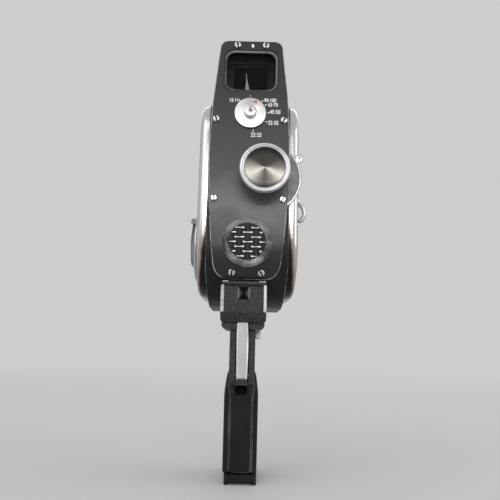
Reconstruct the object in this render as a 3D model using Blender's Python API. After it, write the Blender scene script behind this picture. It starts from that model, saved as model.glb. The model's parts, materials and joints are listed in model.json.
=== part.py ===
"""Spring-wound cine camera on a pistol grip.

Sizes are in millimetres and each mesh is turned into metres when it is made.
X runs to the film-door side, Y runs from the lens towards the back, Z runs up.
The origin is on the underside of the grip's foot.
"""

import math

import bmesh
import bpy
from mathutils import Matrix, Vector

MM = 0.001

# Clearances
GAP = 0.3               # seating gap between neighbouring pieces
RUN = 0.3               # running gap round a turning or sliding piece
OVER = 3.0              # how far a cutting tool runs past a face
BITE = 0.2              # how far a joined piece sinks into its neighbour

# Body casting
FRAME_HALF = 24.0       # half width across X
FRAME_BACK_Y = 62.0
FRAME_BASE_Z = 101.0
FRAME_H = 118.5
FRAME_BACK_RADIUS = 30.0
FRAME_TOP_RADIUS = 14.0
WEB_X = 1.0             # face of the middle web on the mechanism side
WEB_T = 2.8

# Front plate
PLATE_Y = -40.0         # its outer face
PLATE_T = 2.3
PLATE_LIP = 0.7         # above the viewfinder housing
PLATE_HEAD_GAP = 2.8    # above the grip's head
PLATE_CURVE = 36.6      # radius of the bend at its foot
PLATE_EDGE = 0.1        # drawn in from the casting's sides
PLATE_TOP_IN = 5.3      # further in at the top corners
PLATE_TOP_RADIUS = 5.0
PLATE_FOOT_IN = 5.5     # further in at the foot's corners
PLATE_FOOT_RADIUS = 9.0
# Down each side of the plate: draw-in, height above the casting's base and radius of the bend
PLATE_SIDES = ((1.1, 118.5, 40.0), (0.0, 89.0, 80.0), (1.0, 58.5, 80.0), (3.1, 33.0, 30.0))

# Side cover and film door
COVER_T = 5.5
COVER_FRONT_INSET = 8.0
COVER_BACK_INSET = 3.0
COVER_BASE_INSET = 6.5
COVER_RISE = 9.0        # how far the covers stand above the casting
COVER_RADIUS = 28.0     # top of the front
COVER_BASE_RADIUS = 34.0
COVER_BACK_RADIUS = 26.0
COVER_TOP_RADIUS = 14.0 # top of the back
COVER_EDGE = 2.2
COVER_RIM = 2.0
COVER_SEAT = 4.0        # ledge of the casting behind the rim
COVER_SKIN = 1.2
SKIN_RECESS = 0.7
SKIN_T = 0.7
SKIN_MARGIN = 4.2

# Lens, cap and aperture ring
LENS_X = 8.8
LENS_RISE = 75.0        # its axis above the casting's base
BARREL_R = 9.9
BARREL_NECK_R = 10.0
BARREL_BASE_R = 10.8
BARREL_FRONT = 12.5     # ahead of the plate's face
BARREL_BASE_H = 2.2
BARREL_REAR_R = 9.5
BARREL_REAR_Y = -22.5
BARREL_BORE_R = 6.5
FRONT_GLASS_R = 8.2
REAR_GLASS_R = 7.1
FRONT_GLASS_T = 3.5
REAR_GLASS_T = 2.6
CAP_R = 14.25
CAP_FRONT = 16.0        # ahead of the plate's face
CAP_DEPTH = 7.5
CAP_RIM_T = 3.4
CAP_WALL = 1.4          # floor under the inlay
CAP_SLEEVE = 1.2        # wall of the sleeve that grips the barrel
INLAY_R = 11.7
INLAY_T = 0.6
RING_R = 22.3
RING_T = 4.3
TAB_ANGLE = math.radians(31.0)
TAB_REACH = 4.0
TAB_W = 4.8
TAB_T = 3.2

# Light cell, dial and meter
CELL_RISE = 35.4        # its axis above the casting's base
CELL_R = 14.25
CELL_OPEN_R = 11.6
CELL_PROUD = 3.2
CELL_EDGE = 1.6         # chamfer round the bezel
CELL_LIP = 0.6
CELL_SLEEVE = 1.0
CELL_SLEEVE_L = 3.6     # behind the plate's face
GRID_T = 1.2
GRID_BAR = (6.2, 1.1, 0.5)
GRID_PITCH = (9.4, 2.8)
CELL_PLATE_T = 1.4
DIAL_DROP = 5.3         # its axis below the casting's top
DIAL_R = 9.5
DIAL_T = 1.3
DIAL_HUB_R = 3.6
DIAL_HUB_H = 3.0
DIAL_STEM_R = 1.8
DIAL_STEM_L = 5.0
NEEDLE_X = -2.2
NEEDLE_DROP = 12.5      # its pivot below the casting's top
NEEDLE_L = 35.0
NEEDLE_T = 0.6
NEEDLE_DEPTH = 8.0      # behind the plate's face
NEEDLE_HUB_R = 2.2
NEEDLE_ROOT_HALF = 1.1
NEEDLE_TIP_HALF = 0.35
NEEDLE_SWING = 3.4      # half width of its slot
NEEDLE_ROOM = 1.2       # half depth of its slot
METER_R = 7.0
METER_L = 13.0

# Viewfinder
WINDOW_HALF = 16.2
WINDOW_RISE = 9.3       # its sill above the casting's top
WINDOW_H = 26.2
WINDOW_RADIUS = 4.0
HOUSING_BACK_Y = 46.0
HOUSING_H = 40.8
HOUSING_LOW_HALF = 22.3
HOUSING_TOP_HALF = 16.6
HOUSING_RADIUS = 5.0
HOUSING_EDGE = 2.0
SHOULDER_DROP = 1.0     # below the covers' tops
FRONT_CAVITY = 12.0
TUNNEL_HALF = 11.0
TUNNEL_RISE = 7.2       # above the window's sill
TUNNEL_H = 16.0
TUNNEL_RADIUS = 2.0
GLASS_T = 2.0
EYE_R = 9.5
EYE_L = 6.0
EYE_LIP = 1.2
EYE_WALL = 8.0          # behind the tunnel
EYE_GLASS_R = 6.4
EYE_GLASS_T = 2.2

# Front screws
SCREW_HALVES = (8.6, 20.1, 19.8, 8.4)    # half spacing of each pair, from the top down
SCREW_TOP_DROP = 3.2    # first pair, below the plate's top
SCREW_DIAL_DROP = 3.9   # second pair, below the dial's axis
SCREW_LENS_DROP = 14.1  # third pair, below the lens axis
SCREW_FOOT_RISE = 4.0   # last pair, above the plate's foot
SCREW_R = 2.1
SCREW_H = 1.1
SCREW_SHANK_R = 1.0

# Film path
SPOOL_R = 25.0
SPOOL_W = 17.6
SPOOL_CORE_R = 8.0
FLANGE_T = 1.0
SPINDLE_R = 2.8
SPOOL_CLEAR = 0.9       # from a flange to the chamber's wall
SPOOL_SPACE = 1.2       # between the two spools' flanges
GATE_Y = -13.0
GATE_T = 1.4
GATE_HALF_H = 28.0      # about the lens axis
GATE_W = 17.0
APERTURE = (5.0, 3.7)
CLAW_X = 18.4
CLAW_W = 1.4
CLAW_TRAVEL = 2.0
CLAW_L = 16.0
FILM_GAP = 0.8
PRESSURE_T = 2.6
PRESSURE_H = 30.0
PRESSURE_W = 15.6

# Shutter
SHUTTER_X = -2.4
SHUTTER_Y = -20.5
SHUTTER_R = 18.0
SHUTTER_T = 0.8
SHUTTER_HUB_R = 4.0
SHUTTER_OPEN = math.radians(165.0)
SHAFT_R = 1.2

# Motor and gears
WIND_Y = 3.4
WIND_RISE = 38.0        # above the casting's base
DRIVE_Y = 6.0
DRIVE_RISE = 67.5       # above the casting's base
BARREL_TEETH = 40
DRIVE_TEETH = 10
CROWN_TEETH = 24
CROWN_R = 14.0
CROWN_IN_R = 10.6
SPUR_TEETH = 27
SPUR_MODULE = 1.05
GOVERNOR_TEETH = 9
GOVERNOR_TURN = math.radians(45.0)
SHUTTER_TEETH = 8
SHUTTER_PINION_R = 4.0
GEAR_T = 2.4
BARREL_GEAR_X = -12.4
DRUM_R = 21.0
DRUM_WALL = 1.2
DRUM_L = 10.6
ARBOR_R = 2.9
SPRING_T = 0.8
SPRING_TURNS = 5
SPRING_IN_R = 4.8
GOVERNOR_R = 8.6
GOVERNOR_L = 8.0
BRIDGE_T = 1.4

# Winding disc and crank
WINDER_R = 20.8
WINDER_RIM_T = 2.2
WINDER_T = 3.6
CRANK_W = 9.0
CRANK_T = 2.0
CRANK_BOW = 0.8
CRANK_HINGE_R = 17.6    # hinge line from the winding axis
CRANK_REACH = 28.6
EAR_T = 1.6

# Speed dial on the winding side
SPEED_Y = 36.0
SPEED_RISE = 89.0       # above the casting's base
SPEED_R = 8.5
SPEED_T = 3.4
SPEED_STEM_R = 2.0

# Door lock and its bail
LOCK_Y = 3.4
LOCK_RISE = 63.9        # above the casting's base
LOCK_R = 9.4
LOCK_T = 1.0
LOCK_STEM_R = 2.5
LOCK_CAM = (24.0, 6.0, 2.0)
BAIL_HALF = 5.8
BAIL_REACH = 4.2
BAIL_WIRE_R = 1.0
BAIL_EAR_T = 1.4

# Grip
GRIP_X = -1.2
HEAD_HALF = 13.1
HEAD_FRONT_Y = -37.5
HEAD_LAP = 11.6         # how far the head stands up past the casting's base
HEAD_FACE_H = 16.5
HEAD_H = 21.4
HEAD_BACK_Y = 22.0
HEAD_BEVEL = 1.5
HEAD_CHAMFER = 3.0
HEAD_WALL = 3.6
HOURGLASS = (2.9, 0.7, 3.55, 1.2)    # half width, waist, half height and depth of the mark
HOURGLASS_DROP = 5.2    # its middle below the head's top
SLOT_HEADROOM = 1.6     # above the trigger's nose
COLLAR_HALF = 12.3
COLLAR_T = 3.6
COLLAR_FRONT_Y = -33.0
NECK_HALF = 7.35
NECK_FRONT_Y = -29.5
GRIP_BACK_Y = 18.0
LEDGE_Z = 57.0
LEDGE_H = 8.0
LOWER_FRONT_Y = -22.0
LOWER_FOOT_Y = -17.0
FOOT_H = 7.6
FOOT_X = -0.8
FOOT_HALF = 9.4
FOOT_RADIUS = 3.0
FOOT_FRONT_Y = -17.5
FOOT_BACK_Y = 22.0
PANEL_T = 2.2
PANEL_RISE = 6.0        # above the ledge
PANEL_MARGIN = 1.2
PANEL_RADIUS = 9.0
PANEL_EDGE = 1.0
BOLT_Y = 11.0
BOLT_R = 3.0
BOLT_BITE = 6.0         # how far the bolt runs into the casting
KNOB_R = 7.2
KNOB_H = 6.0
KNOB_RECESS = 0.8

# Trigger, its lock and the release button
TRIGGER_HALF = 3.6
TRIGGER_T = 3.0
TRIGGER_TOP_Y = -33.4
TRIGGER_FOOT_Y = -29.6
TRIGGER_LIFT = 2.4      # its foot above the ledge
TRIGGER_UNDERCUT = 1.0
TRIGGER_Y = -23.0       # pivot
TRIGGER_RISE = 4.5      # its pivot above the ledge
TRIGGER_EYE_R = 3.0
TRIGGER_LUG = (-3.4, 0.4)
TRIGGER_SLOT_BACK_Y = -18.0
TONGUE_HALF = 2.6
PIN_R = 1.2
COIL_R = 2.3
COIL_WIRE_R = 0.25
COIL_TURNS = 3
BUTTON_RISE = 5.5       # above the casting's base
BUTTON_R = 2.6
BUTTON_PROUD = 7.0
BUTTON_L = 12.0
BUTTON_TRAVEL = 4.0
NOSE_HALF_H = 1.5
LOCK_LEVER_Y = -19.0
LOCK_LEVER_DROP = 2.9   # its pivot below the collar
LOCK_LEVER_L = 7.0
LOCK_LEVER_H = 4.4
LOCK_LEVER_T = 3.2
LOCK_LEVER_STEM_R = 1.3

# Worked out from the sizes above
FRAME_TOP_Z = FRAME_BASE_Z + FRAME_H
HEAD_TOP_Z = FRAME_BASE_Z + HEAD_LAP
HEAD_FACE_LOW_Z = HEAD_TOP_Z - HEAD_FACE_H
HEAD_LOW_Z = HEAD_TOP_Z - HEAD_H
HOURGLASS_Z = HEAD_TOP_Z - HOURGLASS_DROP
BOLT_TOP_Z = FRAME_BASE_Z + BOLT_BITE
BUTTON_Z = FRAME_BASE_Z + BUTTON_RISE
PANEL_TOP_Z = LEDGE_Z + PANEL_RISE
TRIGGER_FOOT_Z = LEDGE_Z + TRIGGER_LIFT
TRIGGER_Z = LEDGE_Z + TRIGGER_RISE
LENS_Z = FRAME_BASE_Z + LENS_RISE
CELL_Z = FRAME_BASE_Z + CELL_RISE
WIND_Z = FRAME_BASE_Z + WIND_RISE
DRIVE_Z = FRAME_BASE_Z + DRIVE_RISE
SPEED_Z = FRAME_BASE_Z + SPEED_RISE
LOCK_Z = FRAME_BASE_Z + LOCK_RISE
DIAL_Z = FRAME_TOP_Z - DIAL_DROP
NEEDLE_Z = FRAME_TOP_Z - NEEDLE_DROP
NEEDLE_TIP_Z = NEEDLE_Z + NEEDLE_L
WINDOW_LOW_Z = FRAME_TOP_Z + WINDOW_RISE
WINDOW_HIGH_Z = WINDOW_LOW_Z + WINDOW_H
TUNNEL_LOW_Z = WINDOW_LOW_Z + TUNNEL_RISE
TUNNEL_HIGH_Z = TUNNEL_LOW_Z + TUNNEL_H
HOUSING_LOW_Z = FRAME_TOP_Z + GAP
HOUSING_TOP_Z = HOUSING_LOW_Z + HOUSING_H
PLATE_TOP_Z = HOUSING_TOP_Z + PLATE_LIP
GATE_LOW_Z = LENS_Z - GATE_HALF_H
GATE_HIGH_Z = LENS_Z + GATE_HALF_H
FRAME_FRONT_Y = PLATE_Y + PLATE_T + GAP
FRAME_CURVE = PLATE_CURVE - PLATE_T - GAP
CURVE_Y = PLATE_Y + PLATE_CURVE
CURVE_Z = FRAME_BASE_Z + FRAME_CURVE
PLATE_HALF = FRAME_HALF - PLATE_EDGE
PLATE_BASE_Z = HEAD_TOP_Z + PLATE_HEAD_GAP
SCREW_HEIGHTS = (PLATE_TOP_Z - SCREW_TOP_DROP, DIAL_Z - SCREW_DIAL_DROP,
                 LENS_Z - SCREW_LENS_DROP, PLATE_BASE_Z + SCREW_FOOT_RISE)
WEB_FILM_X = WEB_X + WEB_T
COVER_IN_X = FRAME_HALF + GAP
COVER_OUT_X = COVER_IN_X + COVER_T
SKIN_LOW_X = COVER_OUT_X - SKIN_RECESS + GAP
SKIN_OUT_X = SKIN_LOW_X + SKIN_T
POCKET_X = COVER_OUT_X - SKIN_RECESS - COVER_SKIN
COVER_FRONT_Y = PLATE_Y + COVER_FRONT_INSET
COVER_BACK_Y = FRAME_BACK_Y - COVER_BACK_INSET
COVER_LOW_Z = FRAME_BASE_Z + COVER_BASE_INSET
COVER_TOP_Z = FRAME_TOP_Z + COVER_RISE
CHAMBER_FRONT_Y = COVER_FRONT_Y + COVER_SEAT
CHAMBER_BACK_Y = COVER_BACK_Y - COVER_SEAT
CHAMBER_LOW_Z = COVER_LOW_Z + COVER_SEAT
RING_FRONT_Y = FRAME_FRONT_Y + GAP / 3.0
RING_BACK_Y = RING_FRONT_Y + RING_T
LENS_HOLE_R = BARREL_NECK_R + GAP
SLEEVE_R = CELL_OPEN_R + CELL_SLEEVE
SLEEVE_END_Y = PLATE_Y + CELL_SLEEVE_L
SPOOL_LOW_X = WEB_FILM_X + RUN
SPOOL_HIGH_X = SPOOL_LOW_X + SPOOL_W
SPOOL_Y = CHAMBER_BACK_Y - SPOOL_R - SPOOL_CLEAR
TAKEUP_Z = CHAMBER_LOW_Z + SPOOL_R + SPOOL_CLEAR
FEED_Z = TAKEUP_Z + 2.0 * SPOOL_R + SPOOL_SPACE
NEEDLE_Y = PLATE_Y + NEEDLE_DEPTH
METER_FRONT_Y = CHAMBER_FRONT_Y + GAP
DRIVE_SPAN = math.hypot(DRIVE_Y - WIND_Y, DRIVE_Z - WIND_Z)
DRIVE_MODULE = 2.0 * DRIVE_SPAN / (BARREL_TEETH + DRIVE_TEETH)
GOVERNOR_SPAN = SPUR_MODULE * (SPUR_TEETH + GOVERNOR_TEETH) / 2.0
GOVERNOR_Y = DRIVE_Y + GOVERNOR_SPAN * math.cos(GOVERNOR_TURN)
GOVERNOR_Z = DRIVE_Z + GOVERNOR_SPAN * math.sin(GOVERNOR_TURN)
BARREL_GEAR_END_X = BARREL_GEAR_X + GEAR_T
CROWN_TIP_X = SHUTTER_X - SHUTTER_PINION_R - RUN
SPUR_X = BARREL_GEAR_END_X + 2.0 * RUN
SPUR_T = CROWN_TIP_X - SPUR_X - 1.4
DRUM_END_X = BARREL_GEAR_X - DRUM_L
BRIDGE_OUT_X = -(COVER_IN_X + BRIDGE_T)
WINDER_IN_X = -(SKIN_OUT_X + RUN)
WINDER_OUT_X = WINDER_IN_X - WINDER_T
CRANK_IN_X = WINDER_OUT_X - RUN
CRANK_AXIS_X = CRANK_IN_X - CRANK_T / 2.0
CRANK_AXIS_Z = WIND_Z + CRANK_HINGE_R
LOCK_IN_X = SKIN_OUT_X + RUN
LOCK_OUT_X = LOCK_IN_X + LOCK_T
BAIL_X = LOCK_OUT_X + 2.0 * RUN + BAIL_WIRE_R
SADDLE_Z = FRAME_BASE_Z - GAP
COLLAR_TOP_Z = HEAD_LOW_Z - GAP
COLLAR_LOW_Z = COLLAR_TOP_Z - COLLAR_T
LOCK_LEVER_Z = COLLAR_LOW_Z - LOCK_LEVER_DROP
GRIP_FOOT_Z = FOOT_H + GAP
PANEL_IN_X = NECK_HALF + GAP
PANEL_OUT_X = PANEL_IN_X + PANEL_T
BUTTON_DROP = CURVE_Z - BUTTON_Z
BUTTON_SEAT_Y = CURVE_Y - math.sqrt(FRAME_CURVE ** 2 - BUTTON_DROP ** 2)
BUTTON_FRONT_Y = BUTTON_SEAT_Y - BUTTON_PROUD
NOSE_Y = BUTTON_FRONT_Y - RUN

# Colour and finish of each material
FINISHES = {
    "black_casting": ((0.010, 0.010, 0.011), 0.0, 0.40),
    "plate_enamel": ((0.030, 0.032, 0.038), 0.0, 0.35),
    "lens_black": ((0.012, 0.012, 0.013), 0.0, 0.35),
    "chrome": ((0.75, 0.75, 0.76), 1.0, 0.15),
    "leatherette": ((0.015, 0.014, 0.014), 0.0, 0.70),
    "aluminium": ((0.62, 0.63, 0.64), 1.0, 0.35),
    "trigger_metal": ((0.55, 0.56, 0.58), 1.0, 0.35),
    "spun_inlay": ((0.16, 0.14, 0.08), 1.0, 0.30),
    "glass": ((0.03, 0.035, 0.04), 0.0, 0.05),
    "crinkle_paint": ((0.018, 0.018, 0.020), 0.0, 0.60),
    "plastic": ((0.020, 0.018, 0.018), 0.0, 0.45),
    "steel": ((0.55, 0.55, 0.56), 1.0, 0.30),
    "brass": ((0.60, 0.45, 0.20), 1.0, 0.30),
    "spring_steel": ((0.25, 0.26, 0.30), 1.0, 0.35),
    "selenium": ((0.05, 0.04, 0.05), 0.3, 0.35),
    "needle_paint": ((0.55, 0.55, 0.56), 0.0, 0.50),
    "spool_paint": ((0.05, 0.05, 0.055), 0.2, 0.45),
}


def finish(name):
    """The named material, made on first use."""
    found = bpy.data.materials.get(name)
    if found:
        return found
    colour, metallic, roughness = FINISHES[name]
    made = bpy.data.materials.new(name)
    made.use_nodes = True
    shader = made.node_tree.nodes["Principled BSDF"]
    shader.inputs["Base Color"].default_value = (*colour, 1.0)
    shader.inputs["Metallic"].default_value = metallic
    shader.inputs["Roughness"].default_value = roughness
    made.diffuse_color = (*colour, 1.0)
    return made


def on_axis(axis, u, v, w):
    """A point at w along the axis and at (u, v) across it."""
    if axis == "X":
        return Vector((w, u, v))
    if axis == "Y":
        return Vector((u, w, v))
    return Vector((u, v, w))


def rounded(corners, steps=6):
    """An outline through (u, v, radius) corners, each one turned into an arc."""
    points = []
    for index, (u, v, radius) in enumerate(corners):
        here = Vector((u, v))
        if radius <= 0.0:
            points.append((u, v))
            continue
        before = (Vector(corners[index - 1][:2]) - here).normalized()
        after = (Vector(corners[(index + 1) % len(corners)][:2]) - here).normalized()
        half = before.angle(after) / 2.0
        centre = here + (before + after).normalized() * (radius / math.sin(half))
        spoke = here + before * (radius / math.tan(half)) - centre
        turn = math.copysign(math.pi - 2.0 * half, before.y * after.x - before.x * after.y)
        for step in range(steps + 1):
            swung = Matrix.Rotation(turn * step / steps, 2) @ spoke
            points.append(tuple(centre + swung))
    return points


def box_outline(u_low, u_high, v_low, v_high, radius=0.0, steps=4):
    """A rectangle with equal corner radii."""
    corners = [(u_low, v_low, radius), (u_high, v_low, radius)]
    corners += [(u_high, v_high, radius), (u_low, v_high, radius)]
    return rounded(corners, steps)


def circle(u, v, radius, steps=20):
    """A regular outline round (u, v)."""
    turns = [2.0 * math.pi * (step + 0.5) / steps for step in range(steps)]
    return [(u + radius * math.cos(turn), v + radius * math.sin(turn)) for turn in turns]


def gear_outline(u, v, teeth, module, phase):
    """Teeth slimmer than their gaps, with one tooth at the phase angle."""
    pitch_r = module * teeth / 2.0
    root_r = pitch_r - 0.9 * module
    tip_r = pitch_r + 0.6 * module
    step = 2.0 * math.pi / teeth
    points = []
    for tooth in range(teeth):
        middle = phase + tooth * step
        for radius, share in ((root_r, -0.26), (tip_r, -0.11), (tip_r, 0.11), (root_r, 0.26)):
            turn = middle + share * step
            points.append((u + radius * math.cos(turn), v + radius * math.sin(turn)))
    return points


def prism(outline, axis, low, high):
    """The outline pulled along the axis."""
    bm = bmesh.new()
    face = bm.faces.new([bm.verts.new(on_axis(axis, u, v, low)) for u, v in outline])
    grown = bmesh.ops.extrude_face_region(bm, geom=[face])["geom"]
    moved = [item for item in grown if isinstance(item, bmesh.types.BMVert)]
    bmesh.ops.translate(bm, verts=moved, vec=on_axis(axis, 0.0, 0.0, high - low))
    bmesh.ops.recalc_face_normals(bm, faces=bm.faces)
    return bm


def box(x_low, x_high, y_low, y_high, z_low, z_high):
    """A plain block."""
    return prism(box_outline(x_low, x_high, y_low, y_high), "Z", z_low, z_high)


def turned(profile, axis, centre, steps=24):
    """A (radius, height) profile spun round the axis through the centre."""
    bm = bmesh.new()
    u, v = centre
    verts = [bm.verts.new(on_axis(axis, u + radius, v, height)) for radius, height in profile]
    edges = [bm.edges.new(pair) for pair in zip(verts, verts[1:])]
    if profile[0][0] > 0.0:
        edges.append(bm.edges.new((verts[-1], verts[0])))
    bmesh.ops.spin(
        bm, geom=verts + edges, cent=on_axis(axis, u, v, 0.0),
        axis=on_axis(axis, 0.0, 0.0, 1.0), angle=2.0 * math.pi, steps=steps, use_merge=True)
    bmesh.ops.remove_doubles(bm, verts=bm.verts, dist=0.0001)
    bmesh.ops.recalc_face_normals(bm, faces=bm.faces)
    return bm


def rod(axis, centre, radius, low, high, steps=16):
    """A plain round bar."""
    return prism(circle(*centre, radius, steps), axis, low, high)


def merged(*parts):
    """Several meshes in one, for one cut."""
    bm = bmesh.new()
    for part in parts:
        scratch = bpy.data.meshes.new("scratch")
        part.to_mesh(scratch)
        part.free()
        bm.from_mesh(scratch)
        bpy.data.meshes.remove(scratch)
    return bm


def soften_rim(bm, axis, level, width, steps=2):
    """Round the edges that lie in the plane at the level."""
    index = "XYZ".index(axis)
    rim = []
    for edge in bm.edges:
        if all(abs(vert.co[index] - level) < 0.0001 for vert in edge.verts):
            rim.append(edge)
    bmesh.ops.bevel(bm, geom=rim, offset=width, segments=steps, profile=0.5, affect="EDGES")
    return bm


def node(name, bm, material, pivot=(0.0, 0.0, 0.0)):
    """Turn a mesh into a named object whose origin is the pivot."""
    bm.transform(Matrix.Scale(MM, 4) @ Matrix.Translation(-Vector(pivot)))
    mesh = bpy.data.meshes.new(name)
    bm.to_mesh(mesh)
    bm.free()
    made = bpy.data.objects.new(name, mesh)
    made.location = Vector(pivot) * MM
    mesh.materials.append(finish(material))
    bpy.context.scene.collection.objects.link(made)
    return made


def tool(name, bm):
    """A hidden mesh for a Boolean."""
    bm.transform(Matrix.Scale(MM, 4))
    mesh = bpy.data.meshes.new(name)
    bm.to_mesh(mesh)
    bm.free()
    made = bpy.data.objects.new(name, mesh)
    made.hide_render = True
    made.display_type = "WIRE"
    bpy.context.scene.collection.objects.link(made)
    return made


def combine(target, bm, operation):
    """Cut, join or intersect the target with a mesh."""
    step = target.modifiers.new(operation.lower(), "BOOLEAN")
    step.operation = operation
    step.solver = "EXACT"
    step.object = tool(target.name + "_" + operation.lower(), bm)
    return target


def cut(target, *parts):
    """Take each mesh out of the target."""
    for part in parts:
        combine(target, part, "DIFFERENCE")
    return target


def join(target, *parts):
    """Add each mesh to the target."""
    for part in parts:
        combine(target, part, "UNION")
    return target


def wire(points, radius, sides=2):
    """A round wire along the points, closed at both ends."""
    curve = bpy.data.curves.new("wire", "CURVE")
    curve.dimensions = "3D"
    curve.bevel_depth = radius
    curve.bevel_resolution = sides
    curve.use_fill_caps = True
    spline = curve.splines.new("POLY")
    spline.points.add(len(points) - 1)
    for point, place in zip(spline.points, points):
        point.co = (*place, 1.0)
    holder = bpy.data.objects.new("wire", curve)
    bpy.context.scene.collection.objects.link(holder)
    mesh = bpy.data.meshes.new_from_object(holder)
    bm = bmesh.new()
    bm.from_mesh(mesh)
    bmesh.ops.remove_doubles(bm, verts=bm.verts, dist=0.0001)
    bmesh.ops.triangulate(bm, faces=bm.faces)
    bmesh.ops.recalc_face_normals(bm, faces=bm.faces)
    bpy.data.objects.remove(holder)
    bpy.data.meshes.remove(mesh)
    return bm


def side_outline(inset, steps=6):
    """The cover's outline in the side view, drawn in by the inset."""
    front, back = COVER_FRONT_Y + inset, COVER_BACK_Y - inset
    low, top = COVER_LOW_Z + inset, COVER_TOP_Z - inset
    corners = [
        (front, low, COVER_BASE_RADIUS - inset), (back, low, COVER_BACK_RADIUS - inset),
        (back, top, COVER_TOP_RADIUS - inset), (front, top, COVER_RADIUS - inset),
    ]
    return rounded(corners, steps)


def inner_outline(inset, steps=6):
    """The same outline, but no taller than the casting behind the cover."""
    front, back = COVER_FRONT_Y + inset, COVER_BACK_Y - inset
    low, top = COVER_LOW_Z + inset, FRAME_TOP_Z - inset
    corners = [
        (front, low, COVER_BASE_RADIUS - inset), (back, low, COVER_BACK_RADIUS - inset),
        (back, top, COVER_TOP_RADIUS - inset), (front, top, COVER_RADIUS / 2.0),
    ]
    return rounded(corners, steps)


def plate_section(grow):
    """Side profile of everything behind the plate's face, grown outwards."""
    radius = PLATE_CURVE + grow
    points = [(PLATE_Y - grow, PLATE_TOP_Z), (PLATE_Y - grow, CURVE_Z)]
    for step in range(1, 11):
        turn = math.radians(6.0 * step)
        points.append((CURVE_Y - radius * math.cos(turn), CURVE_Z - radius * math.sin(turn)))
    points.append((CURVE_Y, CURVE_Z - radius))
    points.append((CURVE_Y, PLATE_TOP_Z))
    return points


def plate_surface(z):
    """Depth and downward tilt of the plate's outer face at a height."""
    if z >= CURVE_Z:
        return PLATE_Y, 0.0
    turn = math.asin((CURVE_Z - z) / PLATE_CURVE)
    return CURVE_Y - PLATE_CURVE * math.cos(turn), turn


def screw_frame(x, z):
    """Place of a screw, square to the plate's face."""
    y, tilt = plate_surface(z)
    return Matrix.Translation((x, y, z)) @ Matrix.Rotation(tilt, 4, "X")


def build_frame():
    """The body casting with its two chambers, spindles and holes."""
    corners = [
        (FRAME_FRONT_Y, FRAME_BASE_Z, FRAME_CURVE),
        (FRAME_BACK_Y, FRAME_BASE_Z, FRAME_BACK_RADIUS),
        (FRAME_BACK_Y, FRAME_TOP_Z, FRAME_TOP_RADIUS),
        (FRAME_FRONT_Y, FRAME_TOP_Z, 0.0),
    ]
    block = prism(rounded(corners, 7), "X", -FRAME_HALF, FRAME_HALF)
    frame = node("body_frame", block, "black_casting")
    chamber = inner_outline(COVER_SEAT)
    side = FRAME_HALF + OVER
    cut(frame, prism(chamber, "X", -side, WEB_X), prism(chamber, "X", WEB_FILM_X, side))
    spindle = (WEB_X + BITE, SPOOL_HIGH_X + GAP)
    join(
        frame,
        rod("X", (SPOOL_Y, FEED_Z), SPINDLE_R, *spindle),
        rod("X", (SPOOL_Y, TAKEUP_Z), SPINDLE_R, *spindle),
    )
    front = FRAME_FRONT_Y - OVER
    inside = CHAMBER_FRONT_Y + OVER
    needle = (NEEDLE_X, NEEDLE_Z)
    slot = (NEEDLE_Y - NEEDLE_ROOM, NEEDLE_Y + NEEDLE_ROOM)
    meter_end = METER_FRONT_Y + METER_L + RUN
    button_end = BUTTON_FRONT_Y + BUTTON_L + BUTTON_TRAVEL + RUN
    cut(
        frame,
        rod("Y", (LENS_X, LENS_Z), RING_R + RUN, front, RING_BACK_Y + RUN, 36),
        rod("Y", (LENS_X, LENS_Z), LENS_HOLE_R, RING_BACK_Y, inside, 24),
        rod("Y", (0.0, CELL_Z), SLEEVE_R + RUN, front, SLEEVE_END_Y + RUN, 24),
        rod("Y", (0.0, DIAL_Z), DIAL_STEM_R + RUN, front, PLATE_Y + DIAL_STEM_L + RUN),
        rod("Y", needle, NEEDLE_HUB_R + 2.0 * RUN, slot[0], inside),
        box(NEEDLE_X - NEEDLE_SWING, NEEDLE_X + NEEDLE_SWING, *slot, NEEDLE_Z, FRAME_TOP_Z + OVER),
        rod("Y", needle, METER_R + RUN, CHAMBER_FRONT_Y - BITE, meter_end, 20),
        rod("Y", (GRIP_X, BUTTON_Z), BUTTON_R + RUN, front, button_end),
        rod("Z", (GRIP_X, BOLT_Y), BOLT_R + RUN, FRAME_BASE_Z - OVER, BOLT_TOP_Z + RUN),
    )
    web = (WEB_X - OVER, WEB_FILM_X + OVER)
    disc_room = SHUTTER_R + 2.0 * RUN
    shaft_room = SHUTTER_PINION_R + 3.0 * RUN
    disc_end = SHUTTER_Y + SHUTTER_T + 4.0 * RUN
    cut(
        frame,
        box(*web, CHAMBER_FRONT_Y + RUN, disc_end, DRIVE_Z - disc_room, DRIVE_Z + disc_room),
        box(*web, disc_end - OVER, DRIVE_Y - CROWN_IN_R + 2.0, DRIVE_Z - shaft_room, DRIVE_Z + shaft_room),
    )
    return frame


def plate_outline():
    """The plate's outline in the front view, down one side and up the other."""
    right = [(PLATE_HALF - PLATE_TOP_IN, PLATE_TOP_Z, PLATE_TOP_RADIUS)]
    for draw_in, rise, radius in PLATE_SIDES:
        right.append((PLATE_HALF - draw_in, FRAME_BASE_Z + rise, radius))
    right.append((PLATE_HALF - PLATE_FOOT_IN, PLATE_BASE_Z, PLATE_FOOT_RADIUS))
    left = [(-x, z, radius) for x, z, radius in reversed(right)]
    return rounded(right + left, 6)


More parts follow.
